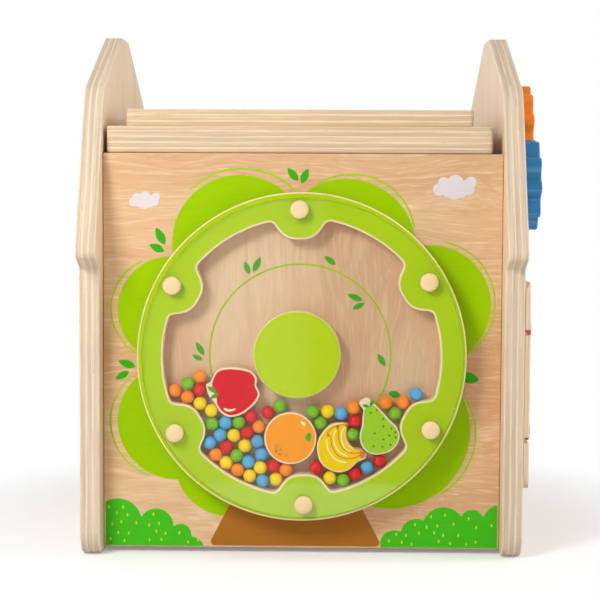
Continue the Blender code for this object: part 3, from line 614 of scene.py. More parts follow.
@dataclass
class Shape:
    """One or more closed surfaces.

    Attributes:
        points: Corner places, one row each.
        quads: Four-sided faces, one row of corner numbers each.
        quad_finish: The finish number of each of those faces.
        caps: Many-sided end faces.
        cap_finish: The finish number of each cap.
    """

    points: np.ndarray
    quads: np.ndarray
    quad_finish: np.ndarray
    caps: list[np.ndarray] = field(default_factory=list)
    cap_finish: list[int] = field(default_factory=list)

    def volume(self) -> float:
        """Measure the inside: the sum of a.(b x c) over the faces' fans.

        Returns:
            Six times the volume, negative where the faces point inwards.
        """
        fans = [self.quads[:, [0, 1, 2]], self.quads[:, [0, 2, 3]]]
        for cap in self.caps:
            fans.append(np.stack([np.full(len(cap) - 2, cap[0]), cap[1:-1], cap[2:]], axis=1))
        corner = self.points[np.concatenate(fans)]
        return float(np.sum(corner[:, 0] * np.cross(corner[:, 1], corner[:, 2])))

    def outward(self) -> "Shape":
        """The same shape with its faces pointing out."""
        caps = [cap[::-1] for cap in self.caps]
        return self if self.volume() >= 0 else Shape(self.points, self.quads[:, ::-1], self.quad_finish, caps,
                                                     self.cap_finish)

    @staticmethod
    def join(shapes: Iterable["Shape"]) -> "Shape":
        """Make several shapes one.

        Args:
            shapes: The shapes.

        Returns:
            One shape that holds all their faces.
        """
        points, quads, finishes, caps, cap_finish = [], [], [], [], []
        first = 0
        for shape in shapes:
            points.append(shape.points)
            quads.append(shape.quads + first)
            finishes.append(shape.quad_finish)
            caps += [cap + first for cap in shape.caps]
            cap_finish += shape.cap_finish
            first += len(shape.points)
        return Shape(np.concatenate(points), np.concatenate(quads), np.concatenate(finishes), caps, cap_finish)


def loft(rings: np.ndarray, bands: Sequence[int] | None = None, around: bool = False,
         caps: tuple[int, int] = (0, 0)) -> Shape:
    """Skin a stack of closed rings. Point (i, j) is station j of ring i, and each face joins stations j and j + 1
    of rings i and i + 1.

    Args:
        rings: Places as (ring, station, 3).
        bands: The finish number of each band between rings.
        around: Whether the last ring joins the first, as on a torus.
        caps: The finish numbers of the first and last cap.

    Returns:
        The closed shape, facing outwards.
    """
    count, stations = rings.shape[:2]
    index = np.arange(count * stations).reshape(count, stations)
    low = index if around else index[:-1]
    high = np.roll(index, -1, axis=0) if around else index[1:]
    quads = np.stack([low, np.roll(low, -1, axis=1), np.roll(high, -1, axis=1), high], axis=-1).reshape(-1, 4)
    finish = np.repeat(np.zeros(len(low), int) if bands is None else np.asarray(bands, int), stations)
    ends = [] if around else [index[0][::-1], index[-1]]
    return Shape(rings.reshape(-1, 3), quads, finish, ends, [] if around else list(caps)).outward()


def on_axis(axis: Axis, flat: np.ndarray, depth: float) -> np.ndarray:
    """Set flat (a, b) points at a depth along an axis, with b upwards where it can be."""
    return np.insert(flat, axis.value, depth, axis=1)


def spokes(turn: np.ndarray) -> np.ndarray:
    """Arrows of length one at the angles: (cos t, sin t)."""
    return np.stack([np.cos(turn), np.sin(turn)], axis=1)


def full_turn(stations: int) -> np.ndarray:
    """Angles an equal step apart all the way round."""
    return np.linspace(0, math.tau, stations, endpoint=False)


def circle(radius: float, stations: int, centre: Spot = (0.0, 0.0)) -> np.ndarray:
    """Points round a circle: centre plus radius times (cos t, sin t)."""
    return np.array(centre) + radius * spokes(full_turn(stations))


def units(arrows: np.ndarray) -> np.ndarray:
    """Each arrow brought to length one."""
    return arrows / np.maximum(np.linalg.norm(arrows, axis=1, keepdims=True), 1e-12)


def leftward(arrows: np.ndarray) -> np.ndarray:
    """Each arrow turned a quarter turn to the left."""
    return np.stack([-arrows[:, 1], arrows[:, 0]], axis=1)


def inset(outline: np.ndarray, amount: float) -> np.ndarray:
    """Move a closed outline inwards: each point goes along the middle of its two edges' normals.

    Args:
        outline: The outline.
        amount: How far its edges move.

    Returns:
        The moved outline.
    """
    ahead = np.roll(outline, -1, axis=0)
    before = units(outline - np.roll(outline, 1, axis=0))
    after = units(ahead - outline)
    area = np.sum(outline[:, 0] * ahead[:, 1] - ahead[:, 0] * outline[:, 1])
    middle = units(before + after)
    stretch = 1 / np.maximum(0.5, np.sum(middle * after, axis=1))
    return outline + leftward(middle) * np.sign(area) * amount * stretch[:, None]


def round_corners(corners: np.ndarray, steps: int) -> np.ndarray:
    """Round a polygon: each (a, b, radius) corner becomes an arc that touches both of its edges.

    Args:
        corners: Rows of place and radius.
        steps: Points on each arc.

    Returns:
        The closed outline.
    """
    here, radius = corners[:, :2], np.maximum(corners[:, 2], 1e-7)
    before = units(np.roll(here, 1, axis=0) - here)
    after = units(np.roll(here, -1, axis=0) - here)
    half = np.arccos(np.clip(np.sum(before * after, axis=1), -1, 1)) / 2
    reach = (radius / np.tan(half))[:, None]
    centre = here + units(before + after) * (radius / np.sin(half))[:, None]
    start = here + before * reach - centre
    end = here + after * reach - centre
    side = np.sign(start[:, 0] * end[:, 1] - start[:, 1] * end[:, 0])
    angle = (side * (math.pi - 2 * half))[:, None] * np.linspace(0, 1, steps)[None]
    cos, sin = np.cos(angle), np.sin(angle)
    spots = np.stack([cos * start[:, :1] - sin * start[:, 1:], sin * start[:, :1] + cos * start[:, 1:]], axis=-1)
    return (centre[:, None] + spots).reshape(-1, 2)


def even(outline: np.ndarray, stations: int) -> np.ndarray:
    """Space a closed outline's points an equal run apart.

    Args:
        outline: The outline.
        stations: How many points it gets.

    Returns:
        The same outline with its new points.
    """
    closed = np.concatenate([outline, outline[:1]])
    run = np.concatenate([[0], np.cumsum(np.linalg.norm(np.diff(closed, axis=0), axis=1))])
    where = np.linspace(0, run[-1], stations, endpoint=False)
    return np.stack([np.interp(where, run, closed[:, 0]), np.interp(where, run, closed[:, 1])], axis=1)


def cubic(rows: Iterable[np.ndarray], steps: int) -> np.ndarray:
    """The Catmull-Rom cubic on each of many stretches.

    Args:
        rows: The points before the stretches, their starts, their ends, and the points after them.
        steps: Points on each stretch.

    Returns:
        All stretches one after the other, each without its end.
    """
    p0, p1, p2, p3 = (part[:, None] for part in rows)
    t = np.linspace(0, 1, steps, endpoint=False)[None, :, None]
    curve = 0.5 * (2 * p1 + (p2 - p0) * t + (2 * p0 - 5 * p1 + 4 * p2 - p3) * t ** 2
                   + (3 * p1 - p0 - 3 * p2 + p3) * t ** 3)
    return curve.reshape(-1, 2)


def smooth_loop(points: Sequence[Spot], steps: int = 8) -> np.ndarray:
    """A closed smooth curve through the points."""
    here = np.array(points, float)
    return cubic((np.roll(here, shift, axis=0) for shift in (1, 0, -1, -2)), steps)


def smooth_path(points: Sequence[Spot], steps: int = 6) -> np.ndarray:
    """An open smooth curve through points, whose end points count twice.

    Args:
        points: The points.
        steps: Points on each stretch.

    Returns:
        The curve.
    """
    spots = np.array(points, float)
    padded = np.concatenate([spots[:1], spots, spots[-1:]])
    curve = cubic((padded[shift:len(padded) - 3 + shift] for shift in range(4)), steps)
    return np.concatenate([curve, spots[-1:]])


def lobe_reach(lobes: Sequence[Sequence[float]], turn: np.ndarray) -> np.ndarray:
    """How far round lobes reach from the origin at each angle a: the most of c cos a + sqrt(r^2 - c^2 sin^2 a),
    for lobes of radius r whose centres lie c away at angle nought.

    Args:
        lobes: Rows of centre and radius.
        turn: The angles.

    Returns:
        The reach at each angle, nought where no lobe lies that way.
    """
    table = np.array(lobes)
    away = np.hypot(table[:, 0], table[:, 1])[:, None]
    angle = turn[None] - np.arctan2(table[:, 1], table[:, 0])[:, None]
    inside = table[:, 2:] ** 2 - (away * np.sin(angle)) ** 2
    reach = np.where(inside > 0, away * np.cos(angle) + np.sqrt(np.maximum(inside, 0)), 0)
    return reach.max(axis=0)


def quarter(radius: float, steps: int) -> list[Spot]:
    """A rounded edge as steps from a face to its wall: radius (1 - sin t) drawn in, radius (1 - cos t) down."""
    turn = np.linspace(0, math.pi / 2, steps)
    return [(radius * (1 - math.sin(t)), radius * (1 - math.cos(t))) for t in turn]


def plate(axis: Axis, outline: np.ndarray, front: float, back: float, edge: float = 0.0, face: int = 0,
          wall: int = 0) -> Shape:
    """A flat plate, whose edges are rounded by quarter circles.

    Args:
        axis: The direction of its thickness.
        outline: Its closed outline.
        front: Where the showing face lies.
        back: Where the other face lies.
        edge: The radius of its edges.
        face: Finish number of the showing face.
        wall: Finish number of the walls and the back.

    Returns:
        The plate.
    """
    sign = 1.0 if back > front else -1.0
    soft = quarter(edge, 4) if edge > 0 else [(0.0, 0.0)]
    levels = [(drawn, front + sign * down) for drawn, down in soft]
    levels += [(drawn, back - sign * down) for drawn, down in reversed(soft)]
    rings = np.stack([on_axis(axis, inset(outline, drawn) if drawn > 0 else outline, level)
                      for drawn, level in levels])
    return loft(rings, [wall] * (len(rings) - 1), caps=(face, wall))


def ink_film(outline: np.ndarray, face: float, top: float, foot: float, finish: int = 0) -> Shape:
    """A film of ink before a face that looks along -Y.

    Args:
        outline: Its closed outline, in metres.
        face: Where the face lies.
        top: How far before it the film's showing side lies.
        foot: How far before it the film's other side lies.
        finish: Its finish number.

    Returns:
        The film.
    """
    return plate(Axis.Y, outline, face - top, face - foot, 0.0, finish, finish)


def turned(axis: Axis, profile: Sequence[Spot], stations: int, centre: Spot, bands: Sequence[int] | None = None,
           closed: bool = False) -> Shape:
    """A turned piece: each (radius, depth) of the profile goes round the axis as a circle.

    Args:
        axis: The direction of the axis.
        profile: Radius and depth along the piece.
        stations: Points round it.
        centre: Where the axis lies.
        bands: The finish number of each band.
        closed: Whether the profile is a closed loop round a bore.

    Returns:
        The piece.
    """
    rings = np.stack([on_axis(axis, circle(max(radius, POLE), stations, centre), depth)
                      for radius, depth in profile])
    return loft(rings, bands, around=closed)


def ribbon(path: np.ndarray, width: float) -> np.ndarray:
    """The outline of a drawn line: the path let out by half its width on both sides, thin at its ends.

    Args:
        path: The line's middle.
        width: Its full width.

    Returns:
        The closed outline.
    """
    across = leftward(units(np.gradient(path, axis=0)))
    share = np.linspace(0, 1, len(path))
    side = across * (width / 2 * np.clip(np.sin(math.pi * share) * 9, 0.5, 1))[:, None]
    return np.concatenate([path + side, (path - side)[::-1]])


def leaf(tip: Spot, foot: Spot, width: float) -> np.ndarray:
    """A pointed leaf: its half width is half the width times sin(pi t^0.9)^0.8 along its middle line.

    Args:
        tip: Its tip.
        foot: Its foot.
        width: Its full width.

    Returns:
        The closed outline.
    """
    tip, foot = np.array(tip, float), np.array(foot, float)
    t = np.linspace(0.02, 0.98, 14)
    middle = foot + (tip - foot) * t[:, None]
    side = leftward(units((tip - foot)[None])) * (width / 2 * np.sin(math.pi * t ** 0.9) ** 0.8)[:, None]
    return np.concatenate([[foot], middle + side, [tip], (middle - side)[::-1]])


def arc(centre: Spot, radius: float, start: float, end: float) -> np.ndarray:
    """Points on a circle from one angle to another, in degrees."""
    return np.array(centre) + radius * spokes(np.radians(np.linspace(start, end, 40)))


def enter(name: str, mesh: bpy.types.Mesh, body: str, nodes: Sequence[str]) -> None:
    """Put a finished mesh in the scene as a named piece.

    Args:
        name: The piece's name.
        mesh: Its mesh.
        body: The body that it rides on.
        nodes: The CAD nodes that it stands for.
    """
    item = bpy.data.objects.new(name, mesh)
    bpy.context.scene.collection.objects.link(item)
    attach(item, body)
    if nodes:
        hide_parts(*nodes)
    LOG.info("%s: %d faces on %s", name, len(mesh.polygons), body)


def add_piece(name: str, shape: Shape, materials: Sequence[Material], body: str,
              nodes: Sequence[str] = (), sharp: float = SHARP) -> None:
    """Make a shape a piece: its walls shade smoothly and its caps flat.

    Args:
        name: The piece's name.
        shape: Its surface.
        materials: Its finishes, by number.
        body: The body that it rides on.
        nodes: The CAD nodes that it stands for.
        sharp: Edges steeper than this many degrees stay crisp.
    """
    mesh = bpy.data.meshes.new(name)
    mesh.from_pydata(shape.points.tolist(), [], shape.quads.tolist() + [cap.tolist() for cap in shape.caps])
    finish = np.concatenate([shape.quad_finish, np.array(shape.cap_finish, int)]).astype(np.int32)
    smooth = np.concatenate([np.ones(len(shape.quads), bool), np.zeros(len(shape.caps), bool)])
    mesh.polygons.foreach_set("material_index", finish)
    mesh.set_sharp_from_angle(angle=math.radians(sharp))
    mesh.polygons.foreach_set("use_smooth", smooth)
    for material in materials:
        mesh.materials.append(material)
    enter(name, mesh, body, nodes)


def welded(node: str, name: str, material: Material, body: str) -> None:
    """Stand a merged copy of a CAD node in its place, so that its rounded edges shade smoothly and its flat faces
    stay flat. The stored normals go, because they don't fit the merged points.

    Args:
        node: The CAD node.
        name: The new piece's name.
        material: Its finish.
        body: The body that it rides on.
    """
    mesh = frame["nodes"][node].data.copy()
    mesh.name = name
    bm = bmesh.new()
    bm.from_mesh(mesh)
    bmesh.ops.remove_doubles(bm, verts=bm.verts[:], dist=WELD)
    bm.to_mesh(mesh)
    bm.free()
    if "custom_normal" in mesh.attributes:
        mesh.attributes.remove(mesh.attributes["custom_normal"])
    mesh.set_sharp_from_angle(angle=math.radians(SHARP))
    normals = np.zeros(len(mesh.polygons) * 3)
    mesh.polygons.foreach_get("normal", normals)
    mesh.polygons.foreach_set("use_smooth", np.max(np.abs(normals.reshape(-1, 3)), axis=1) < SQUARE)
    mesh.materials.clear()
    mesh.materials.append(material)
    enter(name, mesh, body, [node])


def dress(nodes: Iterable[str], material: Material) -> None:
    """Give kept CAD nodes their finish.

    Args:
        nodes: The nodes.
        material: Their finish.
    """
    for node in nodes:
        mesh = frame["nodes"][node].data
        mesh.materials.clear()
        mesh.materials.append(material)
        LOG.info("%s: dressed with %s", node, material.name)


# ---- sub-assemblies


@dataclass
class Case:
    """The plywood case: profiled sides, front and back panels, and what holds them together inside.

    Attributes:
        sides: Finish of the side panels.
        front: Finish of the front panel's face.
        inside: Finish of the floor board.
        timber: Finish of battens, rails and dowels.
    """

    sides: Plywood = Plywood()
    front: PanelVeneer = PanelVeneer()
    inside: Plywood = Plywood(face=(226, 196, 158), plies=5, grain=Axis.X)
    timber: TurnedWood = TurnedWood((228, 192, 144), Axis.Z)

    def build(self) -> None:
        """Build and dress every piece of the case."""
        for side in ("left", "right"):
            node = f"side_panel_{side}"
            material = self.sides.material(f"plywood_{node}", node, Axis.X)
            welded(node, f"profiled_side_{side}", material, "case")
        for side in ("front", "back"):
            welded(f"{side}_panel", f"{side}_board", self.front.material(f"{side}_veneer"), "case")
        dress(["floor_panel"], self.inside.material("floor_plywood", "floor_panel", Axis.Z))
        battens = [name for name in frame["nodes"] if name.startswith("corner_batten")]
        dress(battens, self.timber.material("batten_wood"))
        across = TurnedWood(self.timber.colour, Axis.X).material("rail_wood")
        dress([name for name in frame["nodes"] if name.startswith(("floor_rail", "panel_dowel"))], across)


@dataclass
class Lid:
    """The lift-off lid: a thick board with a smaller plate on it, and two cleats under it.

    Attributes:
        board: Finish of the lower board.
        plate: Finish of the upper plate.
        timber: Finish of the cleats.
    """

    board: Plywood = Plywood(face=(238, 214, 180), light=(234, 212, 180), dark=(216, 188, 156), plies=9,
                             light_faces=False, grain=Axis.X)
    plate: Plywood = Plywood(face=(238, 214, 180), light=(237, 217, 186), dark=(224, 195, 162), plies=5,
                             light_faces=False, grain=Axis.X)
    timber: TurnedWood = TurnedWood((228, 192, 144), Axis.X)

    def build(self) -> None:
        """Build and dress the lid."""
        for node, finish in (("lid_board", self.board), ("lid_plate", self.plate)):
            welded(node, f"top_{node}", finish.material(f"plywood_{node}", node, Axis.Z), "lid")
        dress(["lid_cleat_front", "lid_cleat_back"], self.timber.material("cleat_wood"))


@dataclass
class PanelPrint:
    """The printed scene on the front panel: a round tree, two hedges, two clouds and leaf sprigs.

    Attributes:
        centre: The panel's middle, in metres.
        face: Where the panel's face lies, in metres along Y.
        ink: Height of the ink film in metres.
        lift: Share of that height that the film's underside stands off the wood.
        stations: Points round the crown.
        crown: The round lobes of the tree's crown, as centre and radius.
        crown_inner: Radius that the crown starts at, behind the drum.
        crown_least: Least width of the crown from there.
        outlines: Drawn lines round the lobes, as centre, radius and two angles.
        line_width: Width of those lines.
        trunk: Corners of the trunk with their radii.
        hedge_left: Lobes of the left hedge, as centre and radius.
        hedge_right: Lobes of the right hedge.
        hedge_foot: Height of the hedges' foot.
        hedge_ends: Where the left hedge ends and the right one starts.
        panel_half: Half width that the print may fill.
        leaves: Leaves as tip, foot and width.
        clouds: Middles of the clouds with their size.
        puffs: Round puffs of a cloud of size one, as centre and radius.
        dash: Width and height of the hedges' dashes.
        dash_grid: Rows and columns of dashes.
        dash_start: Place of the first dash across, and over the hedges' foot.
        dash_pitch: Distance from dash to dash across and up.
        dash_stagger: How far every second row is shifted.
        dash_sway: How far the dashes stray across and up.
        dash_margin: How far inside a lobe a dash lies.
        dash_low: Height over the foot up to which a dash may lie below a lobe, and how far aside, by its radius.
    """

    centre: Spot
    face: float
    ink: float = 0.00009
    lift: float = 0.05
    stations: int = 720
    crown: tuple[Lobe, ...] = (
        (-46.9, 82.1, 51.0), (-98.6, 31.3, 40.6), (-94.8, -52.9, 44.6), (-55.0, -84.4, 41.0), (33.0, 78.4, 52.2),
        (96.6, 36.0, 45.2), (67.8, -59.0, 59.6))
    crown_inner: float = 92.0
    crown_least: float = 2.0
    outlines: tuple[Stroke, ...] = (
        (-45.4, 82.8, 55.2, 135, 42), (-104.6, 31.8, 39.6, 113, 239), (-100.6, -53.2, 44.2, 128, 250),
        (37.0, 86.6, 47.4, 123, 8), (98.0, 37.4, 46.8, 80, -58), (79.0, -62.0, 52.4, 36, -60))
    line_width: float = 1.35
    trunk: tuple[Lobe, ...] = (
        (-43.0, -98.0, 1.0), (-54.8, -117.3, 40.0), (-70.5, -147.9, 3.0), (61.5, -147.9, 3.0),
        (45.8, -118.4, 40.0), (34.0, -98.0, 1.0))
    hedge_left: tuple[Lobe, ...] = (
        (-139.4, -130.6, 18.2), (-110.2, -133.2, 13.2), (-91.4, -139.6, 8.0), (-84.0, -152.0, 10.6))
    hedge_right: tuple[Lobe, ...] = (
        (70.6, -146.0, 10.7), (87.4, -138.5, 12.0), (107.9, -133.5, 16.2), (129.6, -127.9, 8.8),
        (152.0, -129.5, 14.6))
    hedge_foot: float = -148.4
    hedge_ends: Spot = (-73.8, 60.2)
    panel_half: float = 148.6
    leaves: tuple[Stroke, ...] = (
        (-11.4, 138.4, -3.6, 129.0, 5.6), (4.0, 138.0, -0.9, 127.2, 5.6), (-110.2, 93.2, -103.4, 80.7, 6.4),
        (-115.1, 80.6, -104.0, 75.6, 5.8), (-138.8, -7.4, -125.8, -11.8, 6.0), (-141.0, -21.2, -130.6, -15.4, 5.3),
        (133.6, -20.2, 119.0, -17.4, 8.6))
    clouds: tuple[Lobe, ...] = ((-118.4, 113.4, 1.0), (114.2, 124.0, 1.4))
    puffs: tuple[Lobe, ...] = (
        (0.0, 2.6, 4.4), (-6.2, 2.8, 3.0), (-8.6, -0.8, 3.4), (8.4, 3.2, 2.9), (6.8, -0.4, 3.5), (-0.6, -2.2, 4.0),
        (3.4, -1.6, 3.4), (-3.6, -1.4, 3.6))
    dash: Spot = (1.3, 2.7)
    dash_grid: tuple[int, int] = (6, 34)
    dash_start: Spot = (-145.0, 3.8)
    dash_pitch: Spot = (9.6, 6.6)
    dash_stagger: float = 4.6
    dash_sway: Spot = (1.5, 1.2)
    dash_margin: float = 2.6
    dash_low: Spot = (6.0, 0.6)

    def build(self) -> None:
        """Build the prints as thin films of ink on the panel, each with its ink and its height in film heights."""
        films = {
            "trunk": (Ink((170, 108, 38), (160, 100, 33)), 1.2, [round_corners(np.array(self.trunk), 10)]),
            "line": (Ink((160, 204, 30), (146, 190, 26)), 1.6,
                     [ribbon(arc(row[:2], *row[2:]), self.line_width) for row in self.outlines]),
            "hedge": (Ink((72, 186, 34), (62, 176, 26)), 1.4,
                      [self.hedge(self.hedge_left, -self.panel_half, self.hedge_ends[0]),
                       self.hedge(self.hedge_right, self.hedge_ends[1], self.panel_half)]),
            "dash": (Ink((196, 220, 40), (184, 208, 34)), 1.8,
                     [circle(1.0, 16) * np.array(self.dash) / 2 + spot for spot in self.dashes()]),
            "leaf": (Ink((62, 172, 20), (50, 158, 16)), 1.7,
                     [leaf(row[:2], row[2:4], row[4]) for row in self.leaves]),
            "cloud": (Ink((222, 215, 214), (214, 206, 206)), 1.3, [self.cloud(*row) for row in self.clouds])}
        self.lay("crown", Ink((155, 200, 1), (140, 184, 1)), [self.crown_ring()])
        for name, (finish, height, outlines) in films.items():
            self.lay(name, finish, [ink_film(outline * MM + np.array(self.centre), self.face, self.ink * height,
                                             self.ink * self.lift) for outline in outlines])

    @staticmethod
    def lay(name: str, finish: Ink, parts: Sequence[Shape]) -> None:
        """Make the films of one ink a piece."""
        add_piece(f"print_{name}", Shape.join(parts), [finish.material(f"ink_{name}")], "case")

    def crown_ring(self) -> Shape:
        """The crown: a ring whose outer radius at each angle is the farthest that any of its lobes reaches.

        Returns:
            The film of ink.
        """
        turn = full_turn(self.stations)
        outer = np.maximum(lobe_reach(self.crown, turn), self.crown_inner + self.crown_least)
        inner = np.full(self.stations, self.crown_inner)
        top, foot = -self.ink, -self.ink * self.lift
        rings = [on_axis(Axis.Y, spokes(turn) * radius[:, None] * MM + np.array(self.centre), self.face + level)
                 for radius, level in ((outer, top), (outer, foot), (inner, foot), (inner, top))]
        return loft(np.stack(rings), around=True)

    def hedge(self, lobes: Sequence[Sequence[float]], low: float, high: float) -> np.ndarray:
        """A hedge: its top at each place is the highest of its round lobes.

        Args:
            lobes: Their centres and radii.
            low: Where it starts.
            high: Where it ends.

        Returns:
            Its closed outline.
        """
        across = np.linspace(low, high, 160)
        table = np.array(lobes)
        inside = table[:, 2:] ** 2 - (across[None] - table[:, :1]) ** 2
        top = np.where(inside > 0, table[:, 1:2] + np.sqrt(np.maximum(inside, 0)), self.hedge_foot)
        top = np.maximum(top.max(axis=0), self.hedge_foot + 0.2)
        return np.concatenate([np.stack([across, top], axis=1), [(high, self.hedge_foot), (low, self.hedge_foot)]])

    def dashes(self) -> np.ndarray:
        """The hedges' dashes: a staggered grid that strays a little, kept where it lies well inside a lobe.

        Returns:
            Their places.
        """
        rows, columns = np.meshgrid(*(np.arange(count) for count in self.dash_grid), indexing="ij")
        a = (self.dash_start[0] + columns * self.dash_pitch[0] + (rows % 2) * self.dash_stagger
             + self.dash_sway[0] * np.sin(columns * 2.3 + rows))
        b = (self.hedge_foot + self.dash_start[1] + rows * self.dash_pitch[1]
             + self.dash_sway[1] * np.cos(columns * 1.7 + rows * 2.1))
        spots = np.stack([a.ravel(), b.ravel()], axis=1)
        table = np.array(self.hedge_left + self.hedge_right)
        away = np.linalg.norm(spots[:, None] - table[None, :, :2], axis=2)
        within = np.any(away < table[None, :, 2] - self.dash_margin, axis=1)
        below = np.any(np.abs(spots[:, :1] - table[None, :, 0]) < table[:, 2] * self.dash_low[1], axis=1)
        low = spots[:, 1] < self.hedge_foot + self.dash_low[0]
        return spots[(within | (low & below)) & (np.abs(spots[:, 0]) < self.panel_half - 2)]

    def cloud(self, across: float, up: float, size: float) -> np.ndarray:
        """A cloud's outline: the farthest reach of its round puffs seen from its middle."""
        turn = full_turn(220)
        return spokes(turn) * lobe_reach(self.puffs, turn)[:, None] * size + np.array((across, up))


@dataclass
class Drum:
    """The bead drum: pale back disc, green lobed ring, hub disc, clear window and the pegs that pin them.

    Attributes:
        centre: Where its axis lies, in metres.
        ply: Finish of the discs' edges.
        stations: Points round the large discs.
        opening_radius: Radius of the ring's opening.
        lobe_tip: How far out the lobes' tips lie.
        lobe_half: Half width of a lobe at its root.
        lobe_tip_half: Half width of a lobe at its tip.
        lobe_rounds: Radii at a lobe's root and tip.
        lobes: How many lobes there are.
        lobe_turn: How far they are turned from upright, in degrees.
        bare: Width of the unprinted margins at the rim and round the opening.
        line_radius: Radius of the printed line on the back disc.
        line_width: Its width.
        line_shift: How far the line sits off the axis.
        leaf_shift: How far the leaves' table sits off the axis.
        leaves: Printed leaves as tip, foot and width.
        stem_radius: Radius of a peg's stem.
        edge: Radius of the discs' edges, in metres.
        bore: Radius of the back disc's bore, in metres.
        ink: Height of the prints on the back disc, in metres.
        lift: Share of that height that their undersides stand off the wood.
        leaf_ink: Height of the leaves, in such heights.
        leaf_gain: How much wider than their table the leaves are drawn.
        hub_stations: Points round the hub disc.
        hub_ink: How far before the hub's face its print starts and ends, in metres.
        hub_board: Thickness of the hub's front board, in metres.
        hub_seam: The seam behind it, in metres.
        hub_bore: Radius of the bore in the board behind it, in metres.
        chamfer: Chamfer of the window's rim, in metres.
        peg_bevel: Bevel of a peg's brim, and the gap under it, in metres.
        peg_brim: The brim's share of what a peg stands proud.
        peg_power: How steeply its dome rises from the brim.
    """

    centre: Spot
    ply: Plywood = Plywood(face=(236, 206, 166), light=(244, 222, 190), dark=(226, 198, 162), plies=9)
    stations: int = 720
    opening_radius: float = 103.0
    lobe_tip: float = 87.4
    lobe_half: float = 20.5
    lobe_tip_half: float = 10.5
    lobe_rounds: Spot = (5.0, 16.0)
    lobes: int = 6
    lobe_turn: float = 1.05
    bare: Spot = (0.5, 0.9)
    line_radius: float = 67.8
    line_width: float = 1.4
    line_shift: Spot = (-1.2, 0.9)
    leaf_shift: Spot = (0.0, 1.9)
    leaves: tuple[Stroke, ...] = (
        (-42.9, 68.5, -39.3, 59.3, 3.6), (-31.1, 71.9, -36.4, 60.9, 4.2), (16.4, 72.9, 25.0, 66.6, 3.6),
        (33.9, 44.5, 45.0, 39.9, 3.9), (46.9, 38.2, 38.0, 33.4, 3.4), (56.9, 0.2, 62.4, -9.4, 3.6),
        (65.0, -29.4, 74.0, -31.4, 4.4), (-79.3, 8.2, -73.2, -1.9, 3.7), (-82.3, -1.9, -74.4, -5.2, 3.2))
    stem_radius: float = 3.0
    edge: float = 0.0005
    bore: float = 0.0045
    ink: float = 0.00008
    lift: float = 1 / 9
    leaf_ink: float = 1.4
    leaf_gain: float = 1.2
    hub_stations: int = 240
    hub_ink: Spot = (0.00007, 0.00001)
    hub_board: float = 0.0075
    hub_seam: float = 0.0001
    hub_bore: float = 0.0125
    chamfer: float = 0.0006
    peg_bevel: float = 0.0003
    peg_brim: float = 0.42
    peg_power: float = 0.8

    def spot(self, a: float, b: float) -> Spot:
        """A place given in millimetres from the axis, in metres in the frame."""
        return self.centre[0] + a * MM, self.centre[1] + b * MM

    def opening(self) -> np.ndarray:
        """The ring's opening: a circle with lobes that reach inwards at the pegs. The rounded outline is read as a
        radius for each angle.

        Returns:
            Its closed outline in millimetres.
        """
        half = math.asin(self.lobe_half / self.opening_radius)
        mouth = self.opening_radius * math.cos(half)
        pitch = math.tau / self.lobes
        corner, tip = self.lobe_rounds
        across = np.array([-self.lobe_half, -self.lobe_tip_half, self.lobe_tip_half, self.lobe_half])
        out = np.array([mouth, self.lobe_tip, self.lobe_tip, mouth])
        rounds = np.array([corner, tip, tip, corner])
        sweep = half + (pitch - 2 * half) * np.arange(1, 24) / 24
        plain = self.opening_radius * spokes(sweep)
        local = np.concatenate([np.stack([out, across, rounds], axis=1),
                                np.concatenate([plain, np.zeros((len(plain), 1))], axis=1)])
        middle = math.pi / 2 + math.radians(self.lobe_turn) + pitch * np.arange(self.lobes)
        cos, sin = np.cos(middle)[:, None], np.sin(middle)[:, None]
        corners = np.stack([local[None, :, 0] * cos - local[None, :, 1] * sin,
                            local[None, :, 0] * sin + local[None, :, 1] * cos,
                            np.broadcast_to(local[None, :, 2], (self.lobes, len(local)))], axis=-1)
        outline = even(round_corners(corners.reshape(-1, 3), 12), 6000)
        angle = np.arctan2(outline[:, 1], outline[:, 0])
        order = np.argsort(angle)
        turn = full_turn(self.stations) - math.pi
        radius = np.interp(turn, angle[order], np.hypot(outline[:, 0], outline[:, 1])[order], period=math.tau)
        return spokes(turn) * radius[:, None]

    def build(self) -> None:
        """Build and dress the drum's own pieces."""
        self.build_back()
        self.build_prints()
        self.build_ring()
        self.build_hub()
        self.build_window()
        self.build_pegs()
        dress(["drum_spacer"], NYLON.material("white_nylon"))
        dress(["drum_axle_bolt", "axle_washer", "axle_nut"], Metal().material("zinc_steel"))

    def build_back(self) -> None:
        """Build the back disc, a bored plate with a rounded front rim and a bevelled back one."""
        low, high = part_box("drum_back_disc")
        radius = half_of("drum_back_disc")
        veneer = PanelVeneer((216, 181, 148), (200, 152, 118), (226, 194, 162), Axis.Z, 18.0, 0.35, 0.75)
        rim = [(radius - drawn, low.y + down) for drawn, down in quarter(self.edge, 4)]
        profile = [(self.bore, low.y), *rim, (radius, high.y - self.edge), (radius - self.edge, high.y),
                   (self.bore, high.y)]
        bands = [0] + [1] * (len(profile) - 1)
        wall = self.ply.material("back_disc_plies", "drum_back_disc", Axis.Y)
        add_piece("drum_back", turned(Axis.Y, profile, self.stations, self.centre, bands, True),
                  [veneer.material("back_disc_veneer"), wall], "drum", ["drum_back_disc"])

